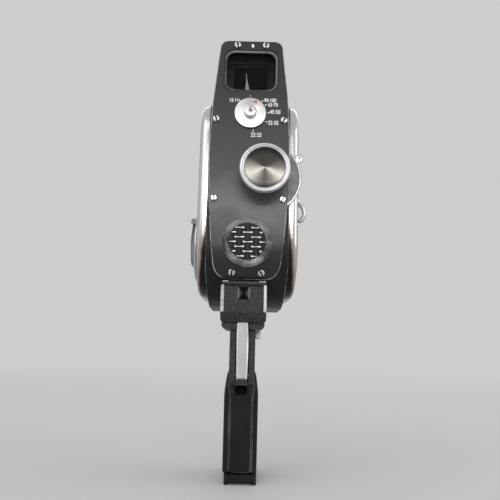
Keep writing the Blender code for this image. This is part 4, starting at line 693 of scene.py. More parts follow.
selenium = paint("selenium", (0.030, 0.022, 0.026), (0.060, 0.045, 0.050), 0.34, 1500.0, 0.02)
white_paint = paint("white_paint", grey(0.88, 0.87), grey(0.95, 0.94), 0.55, 3000.0, 0.01, 0.3)
red_paint = paint("red_paint", (0.60, 0.035, 0.035), (0.74, 0.07, 0.06), 0.50, 3000.0, 0.01, 0.3)
needle_paint = paint("needle_paint", (0.50, 0.51, 0.53), (0.66, 0.67, 0.69), 0.55, 2500.0, 0.01,
                     0.3)
print("small finishes made")

# %% [markdown]
# ## Front plate
# One enamelled sheet covers the whole front and bends back under the light cell. The solid has
# the right outline and every hole, so it is dressed: a narrow round along its edges takes the
# rubbed finish, which draws the thin light line round the plate. The window's edge stays black.

# %% Front plate
PLATE_Y = -40.0
HOLE_HALF, HOLE_LOW, HOLE_HIGH = 17.2, 227.5, 256.3   # round the window

plate = dress("front_plate", "front_plate_enamel", 0.5, worn=True)
coat_faces(plate, 0, lambda middle, face: abs(middle.x) < HOLE_HALF
           and HOLE_LOW < middle.z < HOLE_HIGH)
hand_over(plate, [plate_enamel, plate_edge], "camera", "front_plate")

# %% [markdown]
# ## Viewfinder window
# Behind the plate's opening lies the frame of the window, and its rounded rim is rubbed grey. It
# starts as a flat slab with rounded corners. A second slab with rounder corners is cut out of it,
# and the edge of that cut is rounded and takes the rubbed finish.

# %% Window frame
FRAME_LOW, FRAME_HIGH = (-16.1, -39.6, 228.9), (16.1, -37.3, 254.9)
OPEN_LOW, OPEN_HIGH = (-14.8, -45.0, 229.9), (14.8, -30.0, 253.9)
RIM_WIDTH, SLACK = 0.9, 0.2

window_frame = slab("window_frame", FRAME_LOW, FRAME_HIGH, "Y", even_radii(3.9))
rim_edge = rubbed("rim_edge", grey(0.03), (0.26, 0.255, 0.245), 0.50, 900.0, 0.55)
coated(window_frame, plate_enamel, rim_edge)
cut(window_frame, slab("opening", OPEN_LOW, OPEN_HIGH, "Y", even_radii(5.0), 12))
worn_edges(window_frame, RIM_WIDTH, lambda middle, edge: close(middle.y, FRAME_LOW[1], 0.05)
           and abs(middle.x) < OPEN_HIGH[0] + SLACK
           and OPEN_LOW[2] - SLACK < middle.z < OPEN_HIGH[2] + SLACK, 5)
settle(window_frame)
hand_over(window_frame, [plate_enamel, rim_edge], "camera")

# %% [markdown]
# ## Screws
# Eight slotted screws hold the plate. Each one is a short drum whose front edge is rounded into a
# dome, with a slot cut across it. One screw is modelled and copied: the copies stand square to
# the plate, the last pair on its bend, and each slot points where the screwdriver left it.

# %% One screw, copied eight times
SCREW_R, SCREW_T, DOME = 2.1, 1.1, 0.8
SCREW_SLOT = (5.0, 1.1, 0.85)
SCREW_LIFT = 0.85                            # from the plate to the screw's middle
BEND_Y, BEND_Z, BEND_R = -3.4, 135.0, 36.6   # axis and radius of the plate's bend
SCREW_ROWS = ((8.6, 258.1), (20.1, 210.3), (19.8, 161.9), (8.4, 119.4))   # half width, height
SLOT_TURNS = (78, 96, 68, 118, 84, 112, 96, 62)

clear_picks()
bpy.ops.mesh.primitive_cylinder_add(vertices=40, radius=SCREW_R * MM, depth=SCREW_T * MM,
                                    rotation=FORWARD)
screw = named("screw_pattern")
settle(screw)
rounded(screw, DOME, lambda middle, edge: middle.y < 0 and level_in(edge, "Y"), 6)
slot_tool = block("slot_tool", metres(SCREW_SLOT), metres((0, -SCREW_T / 2.0, 0)))
settle(slot_tool)
# The slot's faces take the black painted shade.
coated(slot_tool, painted_shade_black)
coated(screw, screw_metal)
cut(screw, slot_tool)
places = [(side * half, z) for half, z in SCREW_ROWS for side in (-1, 1)]
for number, ((x, z), slot_turn) in enumerate(zip(places, SLOT_TURNS), 1):
    tilt = math.asin(max(0.0, BEND_Z - z) / BEND_R)
    face = Vector((x, BEND_Y - BEND_R * math.cos(tilt), z))
    outward = Vector((0, -math.cos(tilt), -math.sin(tilt)))
    copy = copied(screw, "screw_%d" % number)
    turned = Matrix.Rotation(tilt, 4, "X") @ Matrix.Rotation(math.radians(slot_turn), 4, "Y")
    copy.matrix_world = Matrix.Translation((face + outward * SCREW_LIFT) * MM) @ turned
    settle(copy)
    hand_over(copy, [screw_metal, painted_shade_black], "camera", "plate_screw_%d" % number)
drop(screw)

# %% [markdown]
# ## Film-speed dial
# The dial is turned from bar: a thin disc with a raised hub and a small hole for the pivot. It is
# spun from its profile. Turned metal shows rings round its axis: noise read along the radius alone
# gives them. Brushing round the axis makes bright and dark sectors, so the finish is anisotropic
# with the grain running in rings, and those sectors are also painted into its tone round the axis
# as painted highlights.

# %% Spun finish
def spun(name, bright, dull, roughness, centre, axis="Y", anisotropy=0.75, rings=3800.0):
    """Metal turned round an axis through the centre, its highlight drawn out across the rings."""
    made, tree, shader = new_finish(name, bright, 1.0, roughness)
    across = [float(other != axis) for other in "XYZ"]
    here = place_in(tree, across, centre)
    radius = node_in(tree, "VectorMath", here, operation="LENGTH").outputs["Value"]
    ring = node_in(tree, "TexNoise", Scale=rings, Detail=3.0, Roughness=0.6)
    ring.noise_dimensions = "1D"
    plug(tree, ring, W=radius)
    lines = ring.outputs["Fac"]
    blend = span(tree, added(tree, lines, noise(tree, 160.0)), 0.0, 1.0, 0.7, 1.3)
    grain = node_in(tree, "Tangent")
    grain.direction_type, grain.axis = "RADIAL", axis
    plug(tree, shader, Base_Color=tones(tree, blend, (0.2, dull), (0.8, bright)),
         Roughness=span(tree, lines, roughness - 0.06, roughness + 0.10),
         Anisotropic=anisotropy, Tangent=grain.outputs["Tangent"])
    relief(tree, shader, lines, 0.006)
    return made


def painted_highlight_fans(made, centre, tint, *stops):
    """Paint highlight fans into a spun finish round its axis: (share of a turn from the left over
    the foot, tone).
    """
    tree = made.node_tree
    here = node_in(tree, "SeparateXYZ", place_in(tree, centre=centre)).outputs
    facing = node_in(tree, "CombineXYZ", here["X"], here["Z"]).outputs["Vector"]
    angle = node_in(tree, "TexGradient", Vector=facing)
    angle.gradient_type = "RADIAL"
    streaks = span(tree, noise(tree, 2400.0), -0.035, 0.035)
    colours = [(share, [tone * c for c in tint]) for share, tone in stops]
    plug(tree, tree.nodes["Principled BSDF"],
         Base_Color=tones(tree, added(tree, angle.outputs["Fac"], streaks), *colours))


# %% Dial
DIAL_Z = 214.2
DIAL, DIAL_AXIS = (0, PLATE_Y, DIAL_Z), (0, 0, DIAL_Z)

dial_silver = spun("dial_silver", grey(0.76), grey(0.62), 0.32, DIAL_AXIS)
# Painted highlights: bright and dark sectors are painted round the dial's axis.
painted_highlight_fans(dial_silver, DIAL_AXIS, grey(1.0), (0.0, 0.62), (0.12, 0.80), (0.25, 0.68), (0.38, 0.80),
     (0.52, 0.58), (0.62, 0.72), (0.76, 0.50), (0.88, 0.66), (1.0, 0.62))
dial = turn("film_speed_disc", [
    (0, -3.7), (1.05, -3.7), (1.05, -4.4), (1.3, -4.6), (3.2, -4.6), (3.5, -4.45), (3.6, -4.15),
    (3.6, -1.8), (3.8, -1.6), (8.9, -1.6), (9.3, -1.5), (9.5, -1.2), (9.5, -0.3), (1.8, -0.3),
    (1.8, 5.0), (0, 5.0),
], DIAL)
hand_over(dial, dial_silver, "dial", "film_speed_dial")
pivot_dot = turn("dial_pivot", [(0, -4.3), (0.6, -4.25), (0.9, -4.1), (1.0, -3.75), (0, -3.75)],
                 DIAL, steps=32)
hand_over(pivot_dot, metal("dot_bronze", (0.40, 0.33, 0.30), 0.45), "dial")

# %% [markdown]
# ## Marks round the dial
# A red pointer is painted on the dial. Film speeds are printed in white round it, each with a tick
# that points at it, and a white oval marks the top of the plate. The numbers are text made into a
# mesh: as text they could not keep their place in the mesh.

# %% Printing
PAINT_T, PRINT_LIFT = 0.05, 0.04


def patch(name, corners, radius, stretch=(1, 1, 1)):
    """A thin patch of paint that faces the front."""
    clear_picks()
    bpy.ops.mesh.primitive_circle_add(vertices=corners, radius=radius * MM, fill_type="NGON",
                                      rotation=FORWARD)
    piece = named(name)
    piece.scale = stretch
    settle(piece)
    pick(piece, "FACE", anywhere)
    bpy.ops.mesh.extrude_region_move(TRANSFORM_OT_translate={"value": (0, -PAINT_T * MM, 0)})
    bpy.ops.mesh.select_all(action="SELECT")
    bpy.ops.mesh.normals_make_consistent(inside=False)
    out_of_edit()
    return piece


def round_dial(way, away, lift):
    """The place at an angle from the top and a distance from the dial's middle."""
    place = (away * math.sin(way), PLATE_Y - lift, DIAL_Z + away * math.cos(way))
    return Matrix.Translation(metres(place))


def printed(text, x, z, height):
    """White figures on the plate, centred at (x, z)."""
    clear_picks()
    bpy.ops.object.text_add(rotation=FORWARD)
    words = bpy.context.active_object.data
    words.body = text
    words.align_x = words.align_y = "CENTER"
    words.size = height / 0.7 * MM
    words.extrude = 0.02 * MM
    words.offset = 0.075 * MM
    words.resolution_u = 3
    bpy.ops.object.convert(target="MESH")
    figures = named("figures")
    figures.scale = (0.8, 1.0, 1.0)
    figures.location = metres((x, PLATE_Y - PRINT_LIFT, z))
    settle(figures)
    return figures


def tick(degrees, inner, outer, width):
    """A short white line that points at the middle of the dial."""
    line = block("tick", metres((width, 0.06, outer - inner)))
    settle(line)
    rounded(line, width * 0.4, lambda middle, edge: not level_in(edge, "Y"), 2)
    way = math.radians(degrees)
    place = round_dial(way, (inner + outer) / 2.0, PRINT_LIFT)
    line.matrix_world = place @ Matrix.Rotation(way, 4, "Y")
    settle(line)
    return line


# %% Pointer, numbers, ticks and oval
POINTER_WAY, POINTER_AWAY, POINTER_LIFT = math.radians(22.8), 7.4, 1.6
OVAL_PLACE = (0.6, PLATE_Y - 0.02, 258.0)
NUMBERS = (
    ("12·11", -10.0, 222.4, 2.2), ("90·100", 11.7, 222.8, 2.3), ("65·70", 13.4, 220.0, 2.3),
    ("45·50", 14.7, 215.5, 2.5), ("32·35", 13.7, 208.6, 2.5), ("22·25", 3.8, 200.8, 2.5),
)
TICK_WAYS = (-38.9, 41.0, 57.4, 86.0, 118.0, 170.0)
TICK_INNER, TICK_OUTER = 10.1, 11.5

pointer = patch("dial_pointer", 3, 1.7)
turned = Matrix.Rotation(math.radians(-95.0), 4, "Y") @ Matrix.Diagonal((0.72, 1.0, 1.0, 1.0))
pointer.matrix_world = round_dial(POINTER_WAY, POINTER_AWAY, POINTER_LIFT) @ turned
settle(pointer)
hand_over(pointer, red_paint, "dial")
marks = [printed(*number) for number in NUMBERS]
marks += [tick(way, TICK_INNER, TICK_OUTER, 0.55) for way in TICK_WAYS]
marks.append(tick(-2.0, 10.9, TICK_OUTER, 0.6))
hand_over(joined("speed_marks", marks), white_paint, "camera")
oval = patch("top_mark", 40, 1.0, (0.75, 1.3, 1.0))
oval.location = metres(OVAL_PLACE)
settle(oval)
hand_over(oval, white_paint, "camera")

# %% [markdown]
# ## Lens and its cap
# A push-on cap covers the lens: a turned aluminium rim with step lines round it, a narrower sleeve
# that grips the barrel, and a spun bronze disc let into its face. Behind it the slim black barrel
# carries the two glasses. All of them are profiles spun round the lens axis.

# %% Cap
LENS = (8.8, PLATE_Y, 176.0)

cap_silver = spun("cap_silver", grey(0.68, 0.69), grey(0.54, 0.55), 0.30, LENS, anisotropy=0.5)
cap = turn("cap_cup", [
    (0, -15.1), (11.95, -15.1), (12.0, -15.35), (12.15, -15.5), (12.75, -15.55), (12.85, -15.62),
    (12.95, -15.92), (13.1, -16.0), (13.6, -15.95), (13.95, -15.72), (14.2, -15.25),
    (14.25, -14.8), (14.25, -13.75), (14.1, -13.6), (14.1, -13.4), (14.25, -13.25),
    (14.2, -12.85), (14.0, -12.6), (11.4, -12.6), (11.4, -8.7), (11.2, -8.5), (10.4, -8.5),
    (10.2, -8.7), (10.2, -13.7), (0, -13.7),
], LENS, steps=128)
hand_over(cap, cap_silver, "cap", "lens_cap")

# %% [markdown]
# Light falls on the spun disc of the cap in two opposite fans. Rings alone give a dull round, so
# those fans are painted into its tone round the axis as painted highlights: an angle, blurred by
# fine noise, picks a colour between dark bronze and pale olive.

# %% Disc of the cap
disc_olive = spun("disc_olive", (0.30, 0.28, 0.21), (0.20, 0.19, 0.14), 0.30, LENS,
                  anisotropy=0.35, rings=2600.0)
# Painted highlights: two bright fans are painted round the cap's axis, dark elsewhere.
painted_highlight_fans(disc_olive, LENS, (1.0, 0.96, 0.86), (0.0, 0.20), (0.07, 0.36), (0.16, 0.12), (0.25, 0.04),
     (0.34, 0.12), (0.42, 0.38), (0.50, 0.11), (0.59, 0.03), (0.75, 0.025), (0.91, 0.03),
     (1.0, 0.20))
disc = turn("cap_disc", [
    (0, -15.75), (4.0, -15.76), (8.0, -15.79), (11.3, -15.82), (11.55, -15.75), (11.7, -15.6),
    (11.7, -15.2), (0, -15.2),
], LENS, steps=128)
hand_over(disc, disc_olive, "cap", "lens_cap_inlay")

# %% Barrel and front glass
barrel = turn("barrel_tube", [
    (8.5, -12.5), (9.0, -12.5), (9.2, -12.3), (9.4, -12.3), (9.6, -12.5), (9.8, -12.4),
    (9.9, -12.2), (9.9, -7.6), (9.75, -7.45), (9.75, -7.1), (9.9, -6.95), (9.9, -2.7),
    (10.1, -2.55), (10.5, -2.5), (10.75, -2.35), (10.8, -2.1), (10.8, -0.3), (10.0, -0.3),
    (10.0, 12.0), (9.5, 12.0), (9.5, 17.5), (7.4, 17.5), (7.4, 13.9), (6.5, 13.9), (6.5, -7.0),
    (8.5, -7.0), (8.5, -12.5),
], LENS)
hand_over(barrel, lens_black, "camera", "lens_barrel")
front_glass = turn("front_glass", [
    (0, -10.8), (2.5, -10.72), (5.0, -10.4), (6.8, -9.9), (7.6, -9.5), (8.2, -9.0), (8.2, -7.3),
    (0, -7.3),
], LENS)
hand_over(front_glass, lens_glass, "camera", "lens_front_glass")

# %% [markdown]
# ## Aperture ring
# The ring turns behind the plate and shows only at its right. It is dark grey metal with a bright
# rim, and a finger tab with a slot stands out of it. The tab is a block with rounded edges that
# starts inside the ring's rim, so that a thumb can push it.

# %% Ring
RIM_R = 21.3

ring_grey = spun("ring_grey", grey(0.14, 0.147), grey(0.085, 0.09), 0.36, LENS, anisotropy=0.4)
ring_rim = metal("ring_rim", grey(0.74, 0.75), 0.26, 0.05)
ring = turn("aperture_disc", [
    (10.6, 2.75), (21.2, 2.75), (21.35, 2.9), (21.6, 2.9), (21.8, 2.72), (22.1, 2.8), (22.3, 3.1),
    (22.3, 6.6), (22.0, 6.95), (10.6, 6.95), (10.6, 2.75),
], LENS, steps=144)
coated(ring, ring_grey, ring_rim)
coat_faces(ring, 1, lambda middle, face: math.hypot(middle.x - LENS[0], middle.z - LENS[2]) > RIM_R)
hand_over(ring, [ring_grey, ring_rim], "aperture", "aperture_ring")

# %% Finger tab
TAB_LOW, TAB_HIGH = (22.2, -36.8, -2.4), (26.3, -33.6, 2.4)
TAB_SLOT_LOW, TAB_SLOT_HIGH = (23.9, -40.0, -1.1), (24.7, -35.4, 1.1)
TAB_TURN = math.radians(-31.0)

tab = slab("aperture_tab", TAB_LOW, TAB_HIGH, "Y", {(1, 0): 0.6, (1, 1): 0.6}, 4)
rounded(tab, 0.35, lambda middle, edge: level_in(edge, "Y") and middle.x > TAB_LOW[0] + 0.1)
tab_slot = slab("tab_slot", TAB_SLOT_LOW, TAB_SLOT_HIGH, "Y", even_radii(0.35), 4)
# The slot's faces take the black painted shade.
coated(tab_slot, painted_shade_black)
coated(tab, screw_metal)
cut(tab, tab_slot)
axis_place = Matrix.Translation((LENS[0] * MM, 0, LENS[2] * MM))
tab.matrix_world = axis_place @ Matrix.Rotation(TAB_TURN, 4, "Y")
settle(tab)
hand_over(tab, [screw_metal, painted_shade_black], "aperture")

# %% [markdown]
# ## Light cell
# A raised black bezel holds a woven screen of glossy bars in front of the selenium plate. The
# bars lie like bricks. One bar is modelled, its ends rounded, and copied in rows. A drum keeps only
# what lies inside the bezel.

# %% Bezel
CELL = (0.0, PLATE_Y, 136.4)
LIP_R, CORNER_RS = 11.1, (13.97, 14.24)   # rubbed inside the first and between the others

bezel = turn("bezel_ring", [
    (10.8, -0.6), (10.8, -2.35), (10.95, -2.6), (11.3, -2.7), (12.2, -3.0), (12.8, -3.15),
    (13.1, -3.05), (13.35, -2.8), (14.0, -1.7), (14.2, -1.3), (14.25, -0.9), (14.25, 2.1),
    (11.9, 2.1), (11.9, -0.6), (10.8, -0.6),
], CELL, steps=128)
bezel_paint = rubbed("bezel_paint", grey(0.014, 0.015), (0.40, 0.395, 0.385), 0.48, 1300.0, 0.45)
bezel_edge = rubbed("bezel_edge", grey(0.05), (0.55, 0.54, 0.53), 0.55, 900.0, 0.45)
coated(bezel, bezel_paint, bezel_edge)


def at_bezel_edge(middle, face):
    away = math.hypot(middle.x, middle.z - CELL[2])
    return away < LIP_R or CORNER_RS[0] < away < CORNER_RS[1] and face.normal.y < -0.1


coat_faces(bezel, 1, at_bezel_edge)
hand_over(bezel, [bezel_paint, bezel_edge], "camera", "cell_bezel")

# %% Laying bars
SCREEN_X, SCREEN_Z = 0.3, 136.1
BAR_STEP, ROW_STEP = 9.5, 2.75


def rounded_bar(name, radius, length, end):
    """A round bar along X with rounded ends."""
    clear_picks()
    bpy.ops.mesh.primitive_cylinder_add(vertices=16, radius=radius * MM, depth=length * MM,
                                        rotation=(0, math.pi / 2, 0))
    bar = named(name)
    settle(bar)
    rounded(bar, end, lambda middle, edge: level_in(edge, "X"), 4)
    settle(bar, 60.0)
    return bar


def laid_in_rows(bar, y, reach):
    """Copies of a bar laid like bricks inside a circle, then the pattern bar is dropped."""
    copies = []
    half = bar.dimensions.x / MM / 2.0
    for row in range(-4, 5):
        for column in range(-2, 3):
            x = BAR_STEP * (column + (0.5 if row % 2 else 0.0))
            if math.hypot(max(abs(x) - half, 0.0), ROW_STEP * row) > reach:
                continue
            copy = copied(bar, "bar")
            copy.location = metres((SCREEN_X + x, y, SCREEN_Z + ROW_STEP * row))
            settle(copy, 60.0)
            copies.append(copy)
    drop(bar)
    return copies


def kept_inside(strands, radius):
    """Cut every strand off at a drum round the cell's axis, and drop what lies outside."""
    drum = turn("drum", [(0, -4.0), (radius, -4.0), (radius, 1.0), (0, 1.0)], CELL, steps=64)
    kept = []
    for strand in strands:
        cut(strand, copied(drum, "drum_copy"), "INTERSECT")
        if strand.data.polygons:
            kept.append(strand)
        else:
            drop(strand)
    drop(drum)
    return kept


# %% Woven screen
BAR_Y, BAR_REACH, SCREEN_R = -41.55, 10.7, 11.2
UPRIGHT_HALF = 1.3

weave = laid_in_rows(rounded_bar("bar_pattern", 0.85, 6.8, 0.6), BAR_Y, BAR_REACH)
for column in range(-2, 3):
    middle = SCREEN_X + BAR_STEP / 2.0 * column
    weave.append(slab("upright", (middle - UPRIGHT_HALF, -41.9, 124.0),
                      (middle + UPRIGHT_HALF, -41.2, 149.0), "Z", even_radii(0.3), 3))
weave.append(slab("backing", (-12.5, -41.4, 123.0), (12.5, -40.5, 150.0), "Y", even_radii(3.0), 3))
screen = joined("cell_screen", kept_inside(weave, SCREEN_R))
settle(screen, 50.0)
weave_black = paint("weave_black", grey(0.005, 0.0055), grey(0.014, 0.015), 0.34, 1500.0, 0.03, 0.2)
hand_over(screen, weave_black, "camera", "cell_grid")

# %% [markdown]
# A bright metal bar with a bead at each end lies on every bar of the screen: a painted glint that
# stands in for the highlight on each bar. The bead and the bar between are one piece, pinched: the
# middle is drawn in, and the ends keep their size.

# %% Bright glint bars
GLINT_Y, GLINT_REACH, GLINTS_R = -42.1, 10.0, 10.3
PINCHED_HALF, PINCH = 1.6, 0.52

glint_bar = rounded_bar("glint_pattern", 0.68, 6.0, 0.55)
pick(glint_bar, "FACE", lambda middle, face: abs(face.normal.x) < 0.1 and abs(middle.x) < 2.0)
bpy.ops.mesh.subdivide(number_cuts=5)
nudge(glint_bar, lambda middle, vert: abs(middle.x) < PINCHED_HALF, stretch=(1.0, PINCH, PINCH))
glint_bars = joined("cell_glints", kept_inside(laid_in_rows(glint_bar, GLINT_Y, GLINT_REACH), GLINTS_R))
settle(glint_bars, 60.0)
# Painted glints: bright metal bars that stand in for the highlights on the screen's bars.
hand_over(glint_bars, metal("glint_bright", grey(0.90, 0.91), 0.26, 0.05), "camera")

# %% [markdown]
# ## Exposure needle
# Behind the window a flat needle swings over the meter. It is a thin strip with cuts across it: at
# one it widens to a shoulder, at the next it has narrowed, and above that it runs out to a point.

# %% Needle
NEEDLE_X, NEEDLE_LOW, NEEDLE_HIGH, NEEDLE_HALF = -2.2, 207.0, 244.0, 1.25
NEEDLE_STEPS = (   # height, share of the width, lean
    (226.0, 0.9, 0.0), (232.8, 1.15, 0.0), (240.0, 0.20, -0.5), (NEEDLE_HIGH, 0.14, -1.0),
)

needle = slab("needle_blade", (NEEDLE_X - NEEDLE_HALF, -32.3, NEEDLE_LOW),
              (NEEDLE_X + NEEDLE_HALF, -31.7, NEEDLE_HIGH), "Y", {})
for height, width, lean in NEEDLE_STEPS:
    if height < NEEDLE_HIGH:
        sliced(needle, "Z", [height])
    nudge(needle, lambda middle, vert: close(middle.z, height), (lean, 0, 0), (width, 1.0, 1.0),
          (NEEDLE_X, 0, height))
hub = turn("needle_hub", [
    (0, 7.6), (2.0, 7.6), (2.2, 7.8), (2.2, 8.5), (1.1, 8.5), (1.1, 12.0), (0, 12.0),
], (NEEDLE_X, PLATE_Y, NEEDLE_LOW), steps=40)
needle = joined("needle_strip", [needle, hub])
settle(needle)
hand_over(needle, needle_paint, "needle", "exposure_needle")

# %% [markdown]
# ## Side covers and their leather cloth
# A plated cover closes the clockwork side, and a plated door closes the film side. Both are the
# same shape, mirrored: a slab with a different radius at each corner, a round rim, and a shallow
# recess in its face for the leather cloth. The back is hollowed by insetting its face and pushing
# it in, as the real pressings are hollow.

# %% Cover and cloth
COVER_NEAR, COVER_FAR, CLOTH_NEAR, CLOTH_FAR = 24.3, 29.8, 29.4, 30.1   # from the middle
COVER_FRONT, COVER_BACK, COVER_LOW, COVER_HIGH = -32.0, 59.0, 107.5, 231.5
COVER_RADII = {(0, 0): 34.0, (1, 0): 26.0, (1, 1): 14.0, (0, 1): 28.0}
CLOTH_MARGIN = 4.3
RIM, RECESS_MARGIN, RECESS = 3.6, 0.6, 0.7
WALL, HOLLOW = 2.0, 3.6
WINDER, SPEED, LOCK = (0, 3.4, 139.0), (0, 36.0, 190.0), (0, 3.4, 164.9)


def side_slab(name, side, near, far, margin=0.0):
    """A slab on one side, between two distances from the middle, smaller by a margin."""
    low, high = sorted((side * near, side * far))
    return slab(name, (low, COVER_FRONT + margin, COVER_LOW + margin),
                (high, COVER_BACK - margin, COVER_HIGH - margin), "X",
                {corner: radius - margin for corner, radius in COVER_RADII.items()}, 24)


def drilled(piece, side, holes):
    """Drill the shafts' holes, each a place and a radius."""
    near, far = sorted((side * 20.0, side * 35.0))
    for place, radius in holes:
        drill = [(0, near), (radius, near), (radius, far), (0, far)]
        cut(piece, turn("drill", drill, place, "X", 32))
    settle(piece)
    return piece


def facing_at(x):
    """The test for a flat face at one x."""
    return lambda middle, face: close(middle.x, x) and abs(face.normal.x) > 0.9


def cover(name, side, holes):
    """The plated cover of one side, hollow behind and recessed in front."""
    piece = side_slab(name, side, COVER_NEAR, COVER_FAR)
    rounded(piece, RIM, lambda middle, edge: at_x(edge, side * COVER_FAR), 8)
    sunk(piece, facing_at(side * COVER_FAR), RECESS_MARGIN, (-side * RECESS, 0, 0))
    sunk(piece, facing_at(side * COVER_NEAR), WALL, (side * HOLLOW, 0, 0))
    return drilled(piece, side, holes)


def cloth(name, side, holes):
    """The leather cloth in the recess of one side."""
    piece = side_slab(name, side, CLOTH_NEAR, CLOTH_FAR, CLOTH_MARGIN)
    rounded(piece, 0.35, lambda middle, edge: at_x(edge, side * CLOTH_FAR))
    return drilled(piece, side, holes)


# %% Both sides
wind_holes, door_holes = [(WINDER, 3.2), (SPEED, 2.3)], [(LOCK, 2.8)]
hand_over(cover("clockwork_cover", -1, wind_holes), chrome, "camera", "mechanism_cover")
hand_over(cloth("clockwork_cloth", -1, wind_holes), leather_cloth, "camera",
          "mechanism_skin")
hand_over(cover("film_door_shell", 1, door_holes), chrome, "door", "film_door")
hand_over(cloth("film_door_cloth", 1, door_holes), leather_cloth, "door",
          "door_skin")

# %% [markdown]
# ## Winder and crank
# The winding disc carries a folding crank. The solid of the disc is right, so it is dressed with
# rounder edges, and it gets a turned finish with a bright rim.

# %% Winder
winder_grey = spun("winder_grey", grey(0.16, 0.165), grey(0.09, 0.095), 0.34, WINDER, "X", 0.4)
winder = dress("winding_disc", "winder_disc", 0.45, 35.0, worn=True, smooth=40.0)
hand_over(winder, [winder_grey, screw_metal], body_of("winding_disc"), "winding_disc")

# %% [markdown]
# The crank folds flat on the disc. It is a pressed strip, bowed so that a fingernail gets under it.
# A rounded slab gets a sunk panel and a rounded edge, is cut across in even steps, and each step
# is moved out by a sine.

# %% Crank
CRANK_OUT, CRANK_IN, CRANK_LOW, CRANK_HIGH = -35.3, -34.3, 128.0, 157.4
CRANK_CUTS, CRANK_BOW = 16, 1.0
crank_l = CRANK_HIGH - CRANK_LOW


def bowed(level):
    return {"by": (-CRANK_BOW * math.sin(math.pi * (level - CRANK_LOW) / crank_l), 0, 0)}


crank = slab("crank_handle", (CRANK_OUT, -1.1, CRANK_LOW), (CRANK_IN, 7.9, CRANK_HIGH), "X",
             {(0, 0): 4.2, (1, 0): 4.2, (0, 1): 1.2, (1, 1): 1.2}, 8)
coated(crank, winder_grey, screw_metal)
sunk(crank, lambda middle, face: face.normal.x < -0.9, 1.7, (0.3, 0, 0))
rounded(crank, 0.25, lambda middle, edge: at_x(edge, CRANK_OUT)
        and any(face.normal.x > -0.5 for face in edge.link_faces), 2, 1)
sliced(crank, "Z", [CRANK_LOW + crank_l * step / CRANK_CUTS for step in range(1, CRANK_CUTS)])
nudge_levels(crank, CRANK_LOW - 1.0, CRANK_HIGH + 1.0, 3, lambda middle: True, bowed)
settle(crank, 40.0)
hand_over(crank, [winder_grey, screw_metal], body_of("crank_arm"), "crank_arm")

# %% [markdown]
# ## Speed dial and door lock
# The speed dial sits above the winder, and the lock holds the door on the other side. Their solids
# are right too, so they are dressed and get turned finishes. The bail of the lock is a bent wire:
# it is shaded round, and the loop that a finger lifts is fattened.

# %% Speed dial, lock and bail
BAIL_LOOP_X, BAIL_FATTER = 34.0, 0.5

speed_silver = spun("speed_silver", grey(0.80, 0.81), grey(0.66, 0.67), 0.30, SPEED, "X", 0.5)
speed = dress("speed_dial", "speed_knob", 0.3, 35.0, smooth=40.0)
hand_over(speed, speed_silver, body_of("speed_dial"), "speed_dial")
lock_silver = spun("lock_silver", grey(0.78, 0.79), grey(0.64, 0.65), 0.28, LOCK, "X", 0.4)
lock = dress("door_lock", "lock_disc", 0.3, 35.0, smooth=40.0)
hand_over(lock, lock_silver, body_of("door_lock"), "door_lock")
bail = dress("lock_bail", "bail_wire", smooth=80.0)
pick(bail, "VERT", lambda middle, vert: middle.x > BAIL_LOOP_X)
bpy.ops.transform.shrink_fatten(value=BAIL_FATTER * MM)
out_of_edit()
hand_over(bail, steel, body_of("lock_bail"), "lock_bail")

# %% [markdown]
# ## Castings and eyepiece
# The body casting and the viewfinder housing keep the shapes of their solids with rounder edges.
# The casting's sides draw in a little towards its base, as a casting must to leave its mould: it is
# cut level, and each level is made narrower. The eyepiece is a turned ring with a soft lip.

# %% Castings
DRAW_TOP, DRAW_H, DRAW_SHARE = 125.0, 24.0, 0.07   # the draw starts here and grows downwards


def drawn_in(level):
    return {"stretch": (1.0 - DRAW_SHARE * ((DRAW_TOP - level) / DRAW_H) ** 1.5, 1.0, 1.0)}


casting = dress("body_frame", "casting", 0.5, 50.0, worn=True)
sliced(casting, "Z", (DRAW_TOP, 118.0, 112.0, 106.5))
nudge_levels(casting, 0.0, DRAW_TOP - 0.1, 1, lambda middle: abs(middle.x) > 20.0, drawn_in)
settle(casting, 30.0)
hand_over(casting, [black_casting, casting_edge], "camera", "body_frame")
housing = dress("viewfinder_housing", "finder_housing", 0.5, 50.0, worn=True)
hand_over(housing, [black_casting, casting_edge], "camera", "viewfinder_housing")
eyepiece = turn("eyepiece_cup", [
    (5.2, 0.3), (9.2, 0.3), (9.5, 0.6), (9.5, 4.9), (9.3, 5.7), (8.7, 6.2), (8.0, 6.3), (7.2, 6.05),
    (6.7, 5.5), (6.7, 1.5), (5.2, 1.5), (5.2, 0.3),
], (0, 46.0, 244.0), steps=64)
hand_over(eyepiece, lens_black, "camera", "eyepiece_ring")

# %% [markdown]
# ## Pistol grip
# The grip hangs from a head block with a trigger slot, a collar, a slim neck and a handle with two
# moulded side panels. Hands have rubbed its front edges bright, so those edges are picked by their
# place, rounded, and given the rubbed finish; on the head that pale finish is also a painted
# highlight. The mark sunk in the head is a small hourglass, its hollow painted black as shade.

# %% Head
GRIP_X = -1.2
HEAD_HALF, HEAD_FRONT, HEAD_LOW, SLOPE_TOP = 13.1, -37.5, 91.2, 96.1
BRIGHT_HALF, BRIGHT_LOW = 11.3, 97.5   # only outside and above these the edges are rubbed and painted bright, a painted highlight
MARK_Z = 107.4


def head_corner(middle, edge):
    """A front corner of the head, the edge above its slope, or one under its sides."""
    at_side = close(abs(middle.x - GRIP_X), HEAD_HALF, 0.05)
    if at_side and level_in(edge, "X") and middle.y < -33.0:
        return True
    return (at_side and close(middle.z, HEAD_LOW, 0.1)
            or close(middle.y, HEAD_FRONT, 0.1) and close(middle.z, SLOPE_TOP, 0.2))


def in_mark(middle, face):
    return (abs(middle.x - GRIP_X) < 3.2 and close(middle.z, MARK_Z, 3.7)
            and middle.y > HEAD_FRONT + 0.05)


